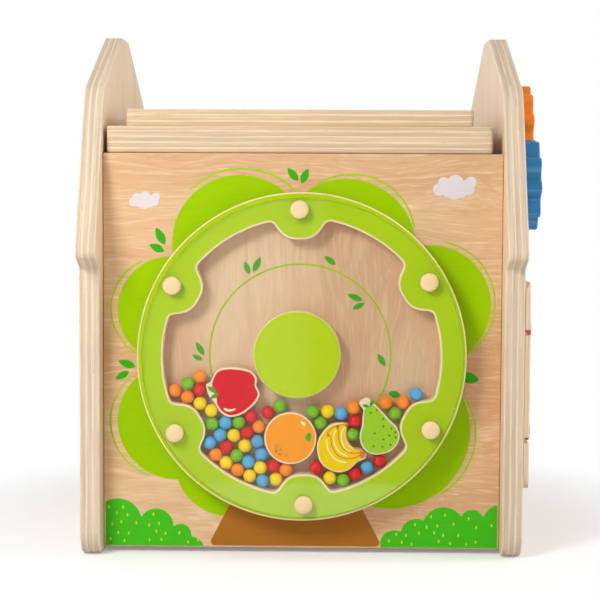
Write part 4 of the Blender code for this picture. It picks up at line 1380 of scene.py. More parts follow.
    def build_prints(self) -> None:
        """Build the printed line and leaves on the back disc."""
        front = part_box("drum_back_disc")[0].y
        top, foot = front - self.ink, front - self.ink * self.lift
        inner, outer = ((self.line_radius + side * self.line_width / 2) * MM for side in (-1, 1))
        line = turned(Axis.Y, [(inner, top), (outer, top), (outer, foot), (inner, foot)], self.stations,
                      self.spot(*self.line_shift), closed=True)
        base = np.array(self.spot(*self.leaf_shift))
        leaves = [ink_film(leaf(row[:2], row[2:4], row[4] * self.leaf_gain) * MM + base, front,
                           self.ink * self.leaf_ink, self.ink * self.lift) for row in self.leaves]
        add_piece("print_drum_line", line, [Ink((166, 190, 22), (154, 178, 18), Axis.Z).material("ink_drum_line")],
                  "drum")
        add_piece("print_drum_leaves", Shape.join(leaves),
                  [Ink((80, 162, 26), (66, 148, 20), Axis.Z).material("ink_drum_leaf")], "drum")

    def build_ring(self) -> None:
        """Build the ring: at each angle a closed section runs round the rim, over the printed face, down the
        opening and back."""
        low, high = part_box("drum_ring")
        outer = np.roll(circle(half_of("drum_ring"), self.stations), self.stations // 2, axis=0)
        opening = self.opening() * MM
        soft = quarter(self.edge, 5)
        rim, mouth = (width * MM for width in self.bare)
        rings = [(inset(outer, drawn), low.y + down) for drawn, down in reversed(soft)]
        rings += [(inset(outer, self.edge + rim), low.y), (inset(opening, -self.edge - mouth), low.y)]
        rings += [(inset(opening, -drawn), low.y + down) for drawn, down in soft]
        rings += [(opening, high.y), (outer, high.y)]
        bands = [1] * len(rings)
        bands[len(soft)] = 0
        stack = np.stack([on_axis(Axis.Y, flat + np.array(self.centre), level) for flat, level in rings])
        green = Ink((173, 198, 8), (163, 189, 6), Axis.Z, 0.42).material("ring_green")
        wall = self.ply.material("ring_plies", "drum_ring", Axis.Y)
        add_piece("drum_green_ring", loft(stack, bands, around=True), [green, wall], "drum",
                  ["drum_ring"])

    def build_hub(self) -> None:
        """Build the hub disc: a front board printed green inside a narrow bare rim, and a bored one behind it."""
        low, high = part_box("drum_hub_disc")
        radius, middle = half_of("drum_hub_disc"), middle_of("drum_hub_disc")
        green = Ink((184, 202, 14), (174, 194, 10), Axis.Z, 0.42).material("hub_green")
        wall = self.ply.material("hub_plies", "drum_hub_disc", Axis.Y)
        rim = circle(radius, self.hub_stations, middle)
        board = plate(Axis.Y, rim, low.y, low.y + self.hub_board, self.edge, 1, 1)
        face = ink_film(circle(radius - self.edge, self.hub_stations, middle), low.y, *self.hub_ink)
        seam = low.y + self.hub_board + self.hub_seam
        foot = turned(Axis.Y, [(self.hub_bore, seam), (radius, seam), (radius, high.y), (self.hub_bore, high.y)],
                      self.hub_stations, middle, [1, 1, 1, 1], True)
        add_piece("drum_hub", Shape.join([board, face, foot]), [green, wall], "drum",
                  ["drum_hub_disc"])

    def build_window(self) -> None:
        """Build the clear window: a polished disc with a chamfered rim."""
        low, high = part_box("drum_window")
        radius = half_of("drum_window")
        profile = [(radius - self.chamfer, low.y), (radius, low.y + self.chamfer), (radius, high.y - self.chamfer),
                   (radius - self.chamfer, high.y)]
        shape = turned(Axis.Y, profile, self.stations, middle_of("drum_window"), [1, 1, 1])
        # The rim's finish carries painted shade, a dark green for the shaded ring seen through the edge.
        add_piece("drum_clear_window", shape,
                  [Acrylic().material("clear_acrylic"), AcrylicEdge().material("acrylic_rim_painted_shade")], "drum",
                  ["drum_window"], sharp=20.0)

    def build_pegs(self) -> None:
        """Build the six pegs: a straight stem, a short brim and a low dome, whose radius falls as a power of the
        cosine while its height rises as the sine."""
        cream = TurnedWood((234, 203, 154), Axis.X, 0.45, 0.3).material("cream_wood")
        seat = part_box("drum_window")[0].y - self.peg_bevel
        stem = self.stem_radius * MM
        for number in range(1, self.lobes + 1):
            node = f"drum_knob_{number}"
            low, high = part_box(node)
            head = half_of(node)
            rise = seat - low.y
            brim = self.peg_brim * rise
            turn = np.linspace(0, math.pi / 2, 12)[:-1]
            dome = [(head * math.cos(t) ** self.peg_power, seat - brim - (rise - brim) * math.sin(t)) for t in turn]
            profile = [(stem, high.y), (stem, seat), (head - self.peg_bevel, seat), (head, seat - self.peg_bevel),
                       *dome, (0.0, low.y)]
            add_piece(f"drum_peg_{number}", turned(Axis.Y, profile, 64, middle_of(node)), [cream], "drum",
                      [node], sharp=50.0)


@dataclass
class FruitPiece:
    """One flat fruit piece: a plywood cut-out with a printed face.

    Attributes:
        node: The CAD node that it stands for.
        slot: The record's material slot; not used.
        outline: The cut-out from its own place.
        place: Its place from the drum's centre.
        colour: Screen colour of the face.
        shade: Screen colour of its mottling.
        face: The printed face's outline, or none to follow the cut-out.
        margin: Bare margin round the face where it follows the cut-out.
        marks: Extra printed marks as colour and outline, from the drum's centre.
        wood: Finish of the cut-out.
        edge: Radius of the cut-out's edges, in metres.
        ink: Height of the printed face, in metres.
        face_ink: Where the face starts and ends, in such heights.
        mark_ink: Where the marks start and end.
    """

    node: str
    slot: str
    outline: np.ndarray
    place: Spot
    colour: Colour
    shade: Colour
    face: np.ndarray | None = None
    margin: float = 1.15
    marks: list[tuple[Colour, np.ndarray]] = field(default_factory=list)
    wood: Plywood = Plywood(face=(238, 214, 180), light=(240, 216, 182), dark=(226, 198, 160), plies=5)
    edge: float = 0.0005
    ink: float = 0.00007
    face_ink: Spot = (1.0, 1 / 9)
    mark_ink: Spot = (2.0, 1.1)

    def build(self, centre: Spot) -> None:
        """Build the piece.

        Args:
            centre: The drum's centre in metres.
        """
        low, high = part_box(self.node)
        base = np.array(self.place) * MM + np.array(centre)
        name = self.node.removeprefix("fruit_")
        face = inset(self.outline, self.margin) if self.face is None else self.face
        parts = [plate(Axis.Y, self.outline * MM + base, low.y, high.y, self.edge),
                 ink_film(face * MM + base, low.y, *(share * self.ink for share in self.face_ink), 1)]
        finishes = [self.wood.material(f"plywood_{name}", self.node, Axis.Y),
                    Ink(self.colour, self.shade, Axis.Z, 0.42).material(f"ink_{name}")]
        colours = list(dict.fromkeys(colour for colour, _ in self.marks))
        for number, colour in enumerate(colours, len(finishes)):
            finishes.append(Ink(colour, tinted(colour, 0.93), Axis.Z, 0.45).material(f"ink_{name}_{number}"))
        for colour, outline in self.marks:
            parts.append(ink_film(outline * MM + np.array(centre), low.y,
                                  *(share * self.ink for share in self.mark_ink), 2 + colours.index(colour)))
        add_piece(f"piece_{name}", Shape.join(parts), finishes, "drum", [self.node])


@dataclass
class DrumContents:
    """What tumbles in the drum: four fruit pieces and fifty beads.

    Attributes:
        centre: The drum's centre in metres.
        opening: The ring's opening in millimetres.
        shift: How far the measured prints lie from the pieces' own places.
        bead: A bead's diameter.
        clearance: The gap that touching pieces keep.
        rounds: How often the beads are pushed apart.
        hub: Place and radius of the hub disc.
        wall_stations: Points of a fruit piece's wall and of the hub disc's.
        wall_step: Step along the opening's points for its wall.
        beads: Where the beads of each colour come to rest.
    """

    centre: Spot
    opening: np.ndarray
    shift: Spot = (0.0, 1.9)
    bead: float = 10.0
    clearance: float = 0.3
    rounds: int = 60
    hub: tuple[float, float, float] = (-3.3, 1.9, 32.4)
    wall_stations: tuple[int, int] = (90, 96)
    wall_step: int = 4
    beads: dict[BeadColour, list[Spot]] = field(default_factory=lambda: {
        BeadColour.ORANGE: [(-94, -26), (-76, -16), (-86, -33), (-31, -51), (-64, -74), (-48, -85), (-10, -86),
                            (41, -40), (63, -34), (76, -34)],
        BeadColour.GREEN: [(-84, -23), (-67, -52), (-47, -49), (-16, -37), (-48, -75), (9, -42), (15, -50),
                           (39, -61), (70, -42), (31, -92)],
        BeadColour.RED: [(-75, -27), (-38, -44), (-25, -42), (-40, -56), (-56, -68), (-21, -86), (40, -50),
                         (15, -86), (40, -88), (57, -78)],
        BeadColour.YELLOW: [(-77, -36), (-67, -41), (-51, -60), (-43, -66), (-56, -80), (-30, -83), (-38, -90),
                            (-19, -95), (20, -41), (21, -94)],
        BeadColour.BLUE: [(-57, -52), (-62, -61), (-71, -66), (-33, -63), (-30, -73), (-39, -79), (-29, -93),
                          (30, -42), (86, -29), (49, -83)]})

    def fruits(self) -> list[FruitPiece]:
        """Shape the four fruit pieces with their prints.

        Returns:
            The pieces.
        """
        leaf_green, dot_green, pale = (66, 162, 34), (58, 124, 16), (250, 232, 204)
        place = np.array(self.shift)

        def lines(rows: Sequence[Sequence[Spot]], width: float) -> list[np.ndarray]:
            """Drawn lines through measured points."""
            return [ribbon(smooth_path(np.array(row) + place), width) for row in rows]

        apple_marks = [(leaf_green, leaf((-69.9, -24.0), (-63.6, -28.6), 3.4) + place),
                       (leaf_green, leaf((-67.8, -33.0), (-61.6, -29.6), 3.2) + place),
                       (pale, smooth_loop([(-57.7, -40.1), (-53.4, -41.2), (-48.9, -40.4), (-50.2, -42.0),
                                           (-53.6, -42.9), (-56.8, -42.0)]) + place)]
        orange_marks = [(pale, leaf((-0.1, -49.9), (3.2, -53.2), 2.4) + place),
                        (leaf_green, smooth_loop([(3.0, -61.0), (4.6, -59.2), (5.6, -57.9), (7.2, -59.4),
                                                  (7.4, -62.6), (5.8, -64.9), (4.2, -64.2)]) + place)]
        orange_marks += [((96, 44, 6), circle(0.75, 12, spot) + place) for spot in
                         ((-18.4, -68.4), (-15.3, -71.0), (-18.8, -72.1), (-15.8, -74.6), (-10.9, -75.4))]
        banana_marks = [((222, 124, 30), row) for row in lines((
            [(20.8, -60.0), (22.1, -62.3), (22.8, -67.5), (25.8, -73.4), (30.3, -76.8), (34.7, -77.5), (40.0, -76.8),
             (44.0, -74.9)],
            [(27.1, -54.2), (27.7, -57.1), (28.0, -63.8), (31.0, -69.7), (35.5, -72.7), (40.7, -73.6), (45.2, -72.3)],
            [(33.9, -52.2), (34.0, -54.8), (33.7, -60.0), (35.6, -65.4), (40.0, -69.7), (45.2, -71.4)],
            [(19.1, -58.9), (22.8, -54.7), (26.9, -53.2), (30.3, -51.9), (33.7, -51.4)]), 0.8)]
        banana_marks += [((222, 124, 46), smooth_loop([(43.9, -73.5), (46.0, -71.4), (47.6, -73.4), (47.6, -76.0),
                                                      (45.8, -77.3), (43.9, -75.8)]) + place)]
        banana_marks += [((222, 124, 46), circle(1.15, 14, spot) + place) for spot in
                         ((20.0, -60.0), (27.1, -53.8), (33.9, -52.3))]
        banana_marks += [((255, 240, 190), row) for row in lines((
            [(19.1, -62.6), (19.5, -69.0), (22.1, -74.2), (26.6, -78.6), (34.0, -80.5)],
            [(25.8, -55.6), (24.0, -62.3), (25.8, -69.0), (29.5, -73.4), (34.7, -75.7)],
            [(32.5, -53.7), (29.9, -58.6), (30.3, -64.5), (32.5, -69.7), (36.6, -72.5)]), 0.75)]
        pear_marks = [(leaf_green, leaf((45.3, -37.3), (50.8, -38.5), 2.4) + place),
                      (leaf_green, leaf((53.5, -33.2), (51.2, -38.2), 2.8) + place)]
        pear_marks += [(dot_green, circle(0.75, 12, spot) + place) for spot in (
            (51.4, -43.0), (56.2, -41.2), (61.0, -47.5), (61.1, -53.2), (67.1, -54.7), (70.1, -57.4), (54.7, -58.4),
            (65.6, -60.0), (70.4, -61.4), (61.3, -63.0), (53.9, -68.2), (60.6, -68.6), (66.5, -66.9))]
        apple = smooth_loop([
            (-22, 5.5), (-19.5, 7.5), (-16.5, 12.5), (-13.5, 17), (-7.5, 19), (0.5, 19), (9, 17.5), (13.5, 15),
            (16, 10.5), (15.5, 5.5), (18, 0.5), (17.5, -3.5), (13.5, -9), (6.5, -15), (-1, -18), (-7, -17.5),
            (-12, -13.5), (-15, -8.5), (-17, -5.5), (-20, -2)])
        apple_face = smooth_loop([
            (-15.4, 12.3), (-12.6, 15.9), (-7.2, 17.5), (0.4, 17.5), (8.4, 16.1), (12.6, 13.8), (14.5, 10),
            (14.1, 5.6), (16.4, 0.6), (16, -3), (12.5, -8), (5.8, -13.7), (-1.2, -16.5), (-6.4, -16),
            (-10.9, -12.6), (-13.6, -8), (-14.4, -2.8), (-16.8, 2.4), (-17.2, 7.6)])
        bananas = smooth_loop([
            (4.5, 18.5), (-4, 18.5), (-10.5, 15.5), (-16.5, 7), (-18, -0.5), (-15.5, -10.5), (-9.5, -16), (-2, -18.5),
            (6, -16.5), (12.5, -10.5), (18, -8), (18.5, -4.5), (15, -1), (8.5, 0.5), (4.5, 5.5), (3.5, 11), (5, 16)])
        pear_body = [
            (-3.5, 18.5), (2, 13), (7.5, 7), (12.5, 2), (15, -4.5), (13, -11), (8.5, -16), (2, -18.5), (-3.5, -19),
            (-10, -16.5), (-14, -11), (-15, -4.5), (-13.5, 2), (-13, 8.5), (-12.5, 14.5)]
        pear = smooth_loop([(-15.5, 19.5), (-11.5, 23), (-8, 23), (-6, 19.5)] + pear_body)
        pear_face = inset(smooth_loop(pear_body + [(-9.6, 18.4)]), 1.15)
        orange = circle(19.5, 120)
        return [
            FruitPiece("fruit_apple", "apple_print", apple, (-49, -27), (216, 8, 28), (206, 6, 24), apple_face,
                       marks=apple_marks),
            FruitPiece("fruit_orange", "orange_print", orange, (-8.1, -60.7), (248, 152, 26), (242, 144, 22),
                       marks=orange_marks),
            FruitPiece("fruit_bananas", "banana_print", bananas, (29.7, -67.7), (240, 200, 2), (232, 190, 2),
                       margin=1.0, marks=banana_marks),
            FruitPiece("fruit_pear", "pear_print", pear, (58.5, -53.6), (158, 198, 38), (148, 190, 32), pear_face,
                       marks=pear_marks)]

    def settle(self, spots: np.ndarray, walls: Sequence[tuple[np.ndarray, bool]]) -> np.ndarray:
        """Push beads that lie too near each other or a wall until they only touch.

        Args:
            spots: Where the beads start.
            walls: Closed outlines, and whether the beads keep inside each.

        Returns:
            Where they come to rest.
        """
        spots = spots.copy()
        for _ in range(self.rounds):
            apart = spots[:, None, :] - spots[None]
            distance = np.linalg.norm(apart, axis=2) + np.eye(len(spots))
            near = np.clip(self.bead + self.clearance / 2 - distance, 0, None)
            np.fill_diagonal(near, 0)
            spots += np.sum(apart / distance[:, :, None] * near[:, :, None], axis=1) / 2
            for outline, keep_inside in walls:
                nearest, inside = self.nearest(spots, outline)
                away = spots - nearest
                gap = np.linalg.norm(away, axis=1, keepdims=True) + 1e-9
                wrong = (inside != keep_inside)[:, None]
                away = np.where(wrong, -away, away) / gap
                spots += away * np.clip(self.bead / 2 + self.clearance - np.where(wrong, -gap, gap), 0, None)
        return spots

    @staticmethod
    def nearest(spots: np.ndarray, outline: np.ndarray) -> tuple[np.ndarray, np.ndarray]:
        """Measure spots against a closed outline: each is dropped square onto every edge, and is inside where a
        ray from it crosses an odd number of edges.

        Args:
            spots: The spots.
            outline: The outline.

        Returns:
            The outline's nearest point for each spot, and whether the spot lies inside.
        """
        end = np.roll(outline, -1, axis=0)
        run = end - outline
        offset = spots[:, None, :] - outline[None]
        share = np.clip(np.sum(offset * run, axis=2) / np.sum(run * run, axis=1), 0, 1)
        close = outline[None] + share[:, :, None] * run[None]
        best = np.argmin(np.linalg.norm(close - spots[:, None, :], axis=2), axis=1)
        a, b = spots[:, :1], spots[:, 1:]
        crosses = (outline[:, 1] > b) != (end[:, 1] > b)
        slope = run[:, 0] / np.where(run[:, 1] == 0, 1e-9, run[:, 1])
        inside = np.sum(crosses & (a < outline[:, 0] + (b - outline[:, 1]) * slope), axis=1) % 2 == 1
        return close[np.arange(len(spots)), best], inside

    def build(self) -> None:
        """Build the fruit pieces and the beads."""
        fruits = self.fruits()
        for fruit in fruits:
            fruit.build(self.centre)
        fruit_wall, hub_wall = self.wall_stations
        walls = [(even(fruit.outline, fruit_wall) + np.array(fruit.place), False) for fruit in fruits]
        walls.append((circle(self.hub[2], hub_wall, self.hub[:2]), False))
        walls.append((self.opening[::self.wall_step], True))
        rest = self.settle(np.array([spot for spots in self.beads.values() for spot in spots], float), walls)
        low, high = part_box("drum_ring")
        nodes = ["beads_left", "beads_top", "beads_right", "beads_bottom"]
        first = 0
        for colour, spots in self.beads.items():
            name = f"bead_{colour.name.lower()}"
            middles = rest[first:first + len(spots)] * MM + np.array(self.centre)
            paint = Coat(colour.value, 0.38, 420.0, 0.00008, 0.12, 0.12).material(name)
            add_piece(name.replace("bead", "beads"), self.balls(middles, (low.y + high.y) / 2), [paint], "drum",
                      nodes if first == 0 else [])
            first += len(spots)

    def balls(self, middles: np.ndarray, depth: float) -> Shape:
        """Round balls: each ring's radius is r sin t and its depth r cos t, for t from pole to pole.

        Args:
            middles: Their middles across and up.
            depth: Their middles' depth.

        Returns:
            All balls as one shape.
        """
        turn = np.linspace(0.03, math.pi - 0.03, 18)
        radius = self.bead / 2 * MM
        profile = [(radius * math.sin(t), depth - radius * math.cos(t)) for t in turn]
        return Shape.join([turned(Axis.Y, profile, 30, (spot[0], spot[1])) for spot in middles])


@dataclass
class SideGears:
    """The two meshing wheels on the right side, with their pins and washers.

    Attributes:
        teeth: Crests on each wheel.
        pitch_radius: Radius that the outline swings about.
        tooth_height: From valley to crest.
        line_angle: Direction from the blue wheel to the orange one, in degrees.
        edge: Radius of the rims.
        bore: Radius of the bore.
        head: Radius of the pin's sunk head with its play.
        sink: Depth of the recess for it.
        mouth: The recess's rounded mouth, as rings so far out and so far down.
        pin_tip: Radius of a pin's end in the side panel.
        pin_shank: Radius of its shank.
        pin_head: Thickness of its head.
        pin_rim: Height of the head's straight rim.
        pin_round: How far the dome draws in evenly.
        pin_fall: Share of the head's radius that it draws in near its top.
        pin_flat: Share of the radius that stays flat on top.
    """

    teeth: int = 10
    pitch_radius: float = 33.0
    tooth_height: float = 6.0
    line_angle: float = 41.5
    edge: float = 1.5
    bore: float = 4.5
    head: float = 8.5
    sink: float = 4.0
    mouth: tuple[Spot, ...] = ((0.6, 0.0), (0.2, 0.2), (0.0, 0.6))
    pin_tip: float = 2.5
    pin_shank: float = 4.0
    pin_head: float = 3.0
    pin_rim: float = 1.2
    pin_round: float = 1.6
    pin_fall: float = 0.3
    pin_flat: float = 0.45

    def build(self) -> None:
        """Build both wheels and dress their pins and washers."""
        line = math.radians(self.line_angle)
        half_tooth = math.pi / self.teeth
        middles = {joint["name"]: (joint["pos_m"][1], joint["pos_m"][2]) for joint in frame["joints"]
                   if joint["name"].startswith("gear_")}
        for name, tooth, colour in (("blue", line, (36, 124, 182)),
                                    ("orange", line + math.pi + half_tooth, (250, 134, 12))):
            node, middle = f"gear_{name}", middles[f"gear_{name}_spin"]
            paint = Coat(colour, 0.4, 300.0, 0.00005, 0.1).material(f"gear_{name}_paint")
            add_piece(f"side_wheel_{name}", self.wheel(node, middle, tooth), [paint], node,
                      [node], sharp=50.0)
            self.build_pin(name, middle)
        dress(["gear_washer_blue", "gear_washer_orange"], NYLON.material("washer_nylon"))

    def wheel(self, node: str, middle: Spot, tooth: float) -> Shape:
        """A scalloped wheel: its radius at angle t is the pitch radius plus half the tooth height times
        cos(teeth (t - tooth)), and its section runs from the rim over the face into the recess and the bore.

        Args:
            node: The CAD node that gives its thickness.
            middle: Where its axis lies.
            tooth: The angle of one crest.

        Returns:
            The wheel.
        """
        low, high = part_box(node)
        stations = self.teeth * 36
        turn = full_turn(stations)
        radius = self.pitch_radius + self.tooth_height / 2 * np.cos(self.teeth * (turn - tooth))
        rim = spokes(turn) * radius[:, None] * MM
        soft = quarter(self.edge * MM, 5)
        rings = [(inset(rim, drawn), low.x + down) for drawn, down in soft]
        rings += [(inset(rim, drawn), high.x - down) for drawn, down in reversed(soft)]
        steps = [(self.head + out, high.x - down * MM) for out, down in self.mouth]
        floor = high.x - self.sink * MM
        steps += [(self.head, floor), (self.bore, floor), (self.bore, low.x)]
        rings += [(circle(size * MM, stations), level) for size, level in steps]
        stack = np.stack([on_axis(Axis.X, flat + np.array(middle), level) for flat, level in rings])
        return loft(stack, around=True)

    def build_pin(self, name: str, middle: Spot) -> None:
        """Build a shouldered wooden pin, whose low dome draws in by 1 - cos t and, near its top, by sin^6 t.

        Args:
            name: The wheel's colour.
            middle: Where its axis lies.
        """
        node = f"gear_pin_{name}"
        low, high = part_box(node)
        head = half_of(node, Axis.Z)
        seat = high.x - self.pin_head * MM
        rim = seat + self.pin_rim * MM
        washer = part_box(f"gear_washer_{name}")[0].x
        tip, shank, draw = (size * MM for size in (self.pin_tip, self.pin_shank, self.pin_round))
        turn = np.linspace(0, math.pi / 2, 8)[:-1]
        dome = [(head - draw * (1 - math.cos(t)) - self.pin_fall * head * math.sin(t) ** 6,
                 rim + (high.x - rim) * math.sin(t)) for t in turn]
        profile = [(tip, low.x), (tip, washer), (shank, washer), (shank, seat), (head, seat), *dome,
                   (head * self.pin_flat, high.x), (0.0, high.x)]
        wood = TurnedWood((236, 204, 152), Axis.Y).material(f"pin_wood_{name}")
        add_piece(f"wheel_pin_{name}", turned(Axis.X, profile, 64, middle), [wood], "case", [node],
                  sharp=45.0)


@dataclass
class TrackPlay:
    """The slotted board on the right side and its two red sliders.

    Attributes:
        board: Finish of the board.
        red: Screen colour of the sliders.
        foot: Radius and height of a slider's foot.
        stem: Radius of its stem.
        button: Radius of its button.
        height: The button's height.
        rim: Radius of the button's lower edge.
        soft: Radius of its upper edge.
        dish: The hollow on top, as rings at a share of the radius and so far down.
    """

    board: Plywood = Plywood(face=(230, 202, 166), light=(238, 218, 188), dark=(216, 190, 158), plies=3,
                             grain=Axis.Y)
    red: Colour = (184, 34, 36)
    foot: Spot = (5.5, 3.0)
    stem: float = 1.8
    button: float = 8.0
    height: float = 6.0
    rim: float = 0.6
    soft: float = 2.2
    dish: tuple[Spot, ...] = ((0.55, 0.0), (0.45, 0.3), (0.0, 0.5))

    def build(self) -> None:
        """Build and dress the board and the sliders."""
        board = self.board.material("plywood_track", "track_board", Axis.X)
        welded("track_board", "slotted_board", board, "case")
        paint = Coat(self.red, 0.35, 300.0, 0.00005, 0.3).material("slider_red")
        for node in ("slider_upper", "slider_lower"):
            add_piece(f"red_{node}", self.slider(node), [paint], node, [node], sharp=50.0)

    def slider(self, node: str) -> Shape:
        """A slider: a flat foot, a thin stem, and a button whose edges are rounded by quarter circles.

        Args:
            node: The CAD node that gives its place and depth.

        Returns:
            The slider.
        """
        low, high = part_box(node)
        back, front = low.x, high.x
        seat = front - self.height * MM
        foot, height, stem, button = (size * MM for size in (*self.foot, self.stem, self.button))
        rim = [(button - drawn, seat + down) for drawn, down in quarter(self.rim * MM, 7)]
        top = [(button - down, front - drawn) for drawn, down in quarter(self.soft * MM, 7)]
        dish = [(button * share, front - down * MM) for share, down in self.dish]
        profile = [(0.0, back), (foot, back), (foot, back + height), (stem, back + height), (stem, seat), *rim,
                   *top, *dish]
        return turned(Axis.X, profile, 64, middle_of(node, Axis.X))


# ---- studio


@dataclass
class Studio:
    """Camera, pale floor, soft lamps and white surroundings.

    Attributes:
        position: Where the camera stands.
        heading: Its turn to the left, in degrees.
        tilt: Its downward tilt, in degrees.
        roll: Its roll, in degrees.
        lens: Focal length in millimetres.
        sensor: Width of its sensor in millimetres.
        sky: Strength of the even light from all round.
        lamps: Name, place, size and power of each lamp.
        aim: Where the lamps point.
        cards: Name, brightness and corners of each bright card that nothing but gloss sees. The window shows the
            soft edge of its reflection.
        floor_radius: How far the floor reaches.
        floor_level: Its height, a little under the feet.
        floor_tint: Its colour, in linear light.
        floor_lift: How much brighter than lit the camera sees it.
        fade: Where it starts and ends to fade to white.
    """

    position: Place = (0.00815, -1.345, 0.2705)
    heading: float = 0.89
    tilt: float = 3.71
    roll: float = 0.27
    lens: float = 95.89
    sensor: float = 36.0
    sky: float = 0.40
    lamps: tuple[tuple[str, Place, float, float], ...] = (
        ("key_lamp", (-0.55, -1.0, 0.79), 0.36, 8.6), ("fill_lamp", (0.7, -2.2, 1.2), 1.6, 3.7),
        ("side_lamp", (1.35, -0.24, 0.88), 0.9, 8.2), ("back_lamp", (-0.9, 2.1, 1.25), 1.6, 6.0))
    aim: Place = (0.0, 0.0, 0.18)
    cards: tuple[tuple[str, float, tuple[Place, ...]], ...] = (
        ("near_card", 6.5, ((-0.6, -0.275, 0.0006), (0.6, -0.275, 0.0006), (0.6, -0.482, 0.0006),
                            (-0.6, -0.482, 0.0006))),
        ("left_card", 2.7, ((-2.0, -0.485, 0.0004), (0.0, -0.485, 0.0004), (-0.06, -3.98, 0.0004),
                            (-2.0, -3.98, 0.0004))),
        ("back_card", 2.7, ((-2.5, -3.98, 0.0), (-0.04, -3.98, 0.0), (0.45, -3.98, 2.5), (-2.5, -3.98, 2.5))))
    floor_radius: float = 7.0
    floor_level: float = -0.0002
    floor_tint: Colour = (0.85, 0.86, 0.875)
    floor_lift: float = 0.2
    fade: Spot = (0.19, 0.38)

    def build(self) -> None:
        """Set the camera, the world, the floor, the lamps and the cards."""
        self.build_camera()
        self.build_world()
        self.build_floor()
        for name, place, size, power in self.lamps:
            self.build_lamp(name, place, size, power)
        for name, strength, corners in self.cards:
            self.build_card(name, strength, corners)
        bpy.context.scene.view_settings.view_transform = "Standard"

    def build_camera(self) -> None:
        """Set the camera at the photograph's place."""
        data = bpy.data.cameras.new("camera")
        data.lens = self.lens
        data.sensor_width = self.sensor
        data.clip_start = 0.05
        camera = bpy.data.objects.new("camera", data)
        turn = (Matrix.Rotation(math.radians(self.heading), 4, "Z")
                @ Matrix.Rotation(math.radians(90 - self.tilt), 4, "X")
                @ Matrix.Rotation(math.radians(self.roll), 4, "Z"))
        camera.matrix_world = Matrix.Translation(self.position) @ turn
        bpy.context.scene.collection.objects.link(camera)
        bpy.context.scene.camera = camera

    @staticmethod
    def seen(tree: bpy.types.NodeTree) -> Socket:
        """Add what tells sight from light.

        Args:
            tree: The node tree.

        Returns:
            One where a surface is seen directly, in gloss or through glass, and nought for its light.
        """
        path = tree.nodes.new("ShaderNodeLightPath")
        total = path.outputs["Is Camera Ray"]
        for name in ("Is Glossy Ray", "Is Transmission Ray"):
            node = tree.nodes.new("ShaderNodeMath")
            node.operation = "MAXIMUM"
            tree.links.new(total, node.inputs[0])
            tree.links.new(path.outputs[name], node.inputs[1])
            total = node.outputs[0]
        return total

    def build_world(self) -> None:
        """Set even pale light, with plain white behind the object."""
        world = bpy.data.worlds.new("studio")
        world.use_nodes = True
        tree = world.node_tree
        tree.nodes.clear()
        mix = tree.nodes.new("ShaderNodeMixShader")
        tree.links.new(self.seen(tree), mix.inputs[0])
        for number, strength in enumerate((self.sky, 1.0), 1):
            light = tree.nodes.new("ShaderNodeBackground")
            light.inputs[0].default_value = (*WHITE, 1.0)
            light.inputs[1].default_value = strength
            tree.links.new(light.outputs[0], mix.inputs[number])
        output = tree.nodes.new("ShaderNodeOutputWorld")
        tree.links.new(mix.outputs[0], output.inputs[0])
        bpy.context.scene.world = world

    def build_floor(self) -> None:
        """Lay a pale floor that keeps the soft shadow near the object and fades to white farther out."""
        graph = Graph("pale_floor")
        parts = graph.add("SeparateXYZ", {0: graph.place.outputs["Object"]}).outputs
        flat = graph.add("CombineXYZ", {0: parts[0], 1: parts[1], 2: 0.0}).outputs[0]
        away = graph.add("VectorMath", {0: flat}, operation="LENGTH").outputs["Value"]
        see = self.seen(graph.tree)
        matt = graph.add("BsdfDiffuse", {"Color": self.floor_tint}).outputs[0]
        lift = graph.add("Emission", {"Color": WHITE, "Strength": graph.math("MULTIPLY", see, self.floor_lift)})
        near = graph.add("AddShader", {0: matt, 1: lift.outputs[0]}).outputs[0]
        glow = graph.add("Emission", {"Color": WHITE, "Strength": 1.0}).outputs[0]
        far = graph.math("MULTIPLY", see, graph.span(away, *self.fade))
        graph.close(graph.add("MixShader", {0: far, 1: near, 2: glow}).outputs[0])
        self.stage_sheet("floor", on_axis(Axis.Z, circle(self.floor_radius, 96), self.floor_level), graph.material)

    def build_card(self, name: str, strength: float, corners: Sequence[Place]) -> None:
        """Set up a bright card that nothing but gloss sees.

        Args:
            name: The card's name.
            strength: How bright it is, where 1 is white.
            corners: Its four corners.
        """
        graph = Graph(name)
        graph.close(graph.add("Emission", {"Color": WHITE, "Strength": strength}).outputs[0])
        graph.material.cycles.emission_sampling = "NONE"
        card = self.stage_sheet(name, np.array(corners), graph.material)
        card.visible_camera = card.visible_diffuse = card.visible_transmission = card.visible_shadow = False

    @staticmethod
    def stage_sheet(name: str, rim: np.ndarray, material: Material) -> bpy.types.Object:
        """Set up one flat face of the studio, which isn't part of the object.

        Args:
            name: Its name.
            rim: Its corners.
            material: Its finish.

        Returns:
            The sheet.
        """
        mesh = bpy.data.meshes.new(name)
        mesh.from_pydata(rim.tolist(), [], [list(range(len(rim)))])
        mesh.materials.append(material)
        sheet = bpy.data.objects.new(name, mesh)
        bpy.context.scene.collection.objects.link(sheet)
        return sheet

    def build_lamp(self, name: str, place: Place, size: float, power: float) -> None:
        """Set up a soft square lamp.

        Args:
            name: The lamp's name.
            place: Where it hangs.
            size: Its width.
            power: Its power in watts.
        """
        data = bpy.data.lights.new(name, "AREA")
        data.shape = "SQUARE"
        data.size = size
        data.energy = power
        lamp = bpy.data.objects.new(name, data)
        lamp.visible_camera = False
        aim = Vector(self.aim) - Vector(place)
        lamp.matrix_world = Matrix.Translation(place) @ aim.to_track_quat("-Z", "Y").to_matrix().to_4x4()
        bpy.context.scene.collection.objects.link(lamp)


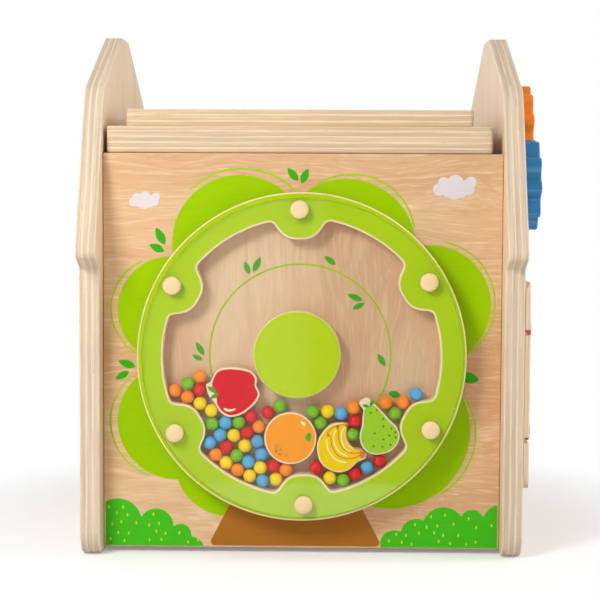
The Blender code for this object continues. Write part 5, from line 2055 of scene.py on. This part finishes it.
def main() -> None:
    """Build the whole cube and its studio."""
    logging.basicConfig(level=logging.INFO, format="%(name)s %(message)s")
    Studio().build()
    Case().build()
    Lid().build()
    PanelPrint(middle_of("front_panel"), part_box("front_panel")[0].y).build()
    drum = Drum(middle_of("drum_ring"))
    drum.build()
    DrumContents(drum.centre, drum.opening()).build()
    SideGears().build()
    TrackPlay().build()


if __name__ == "__main__":
    main()
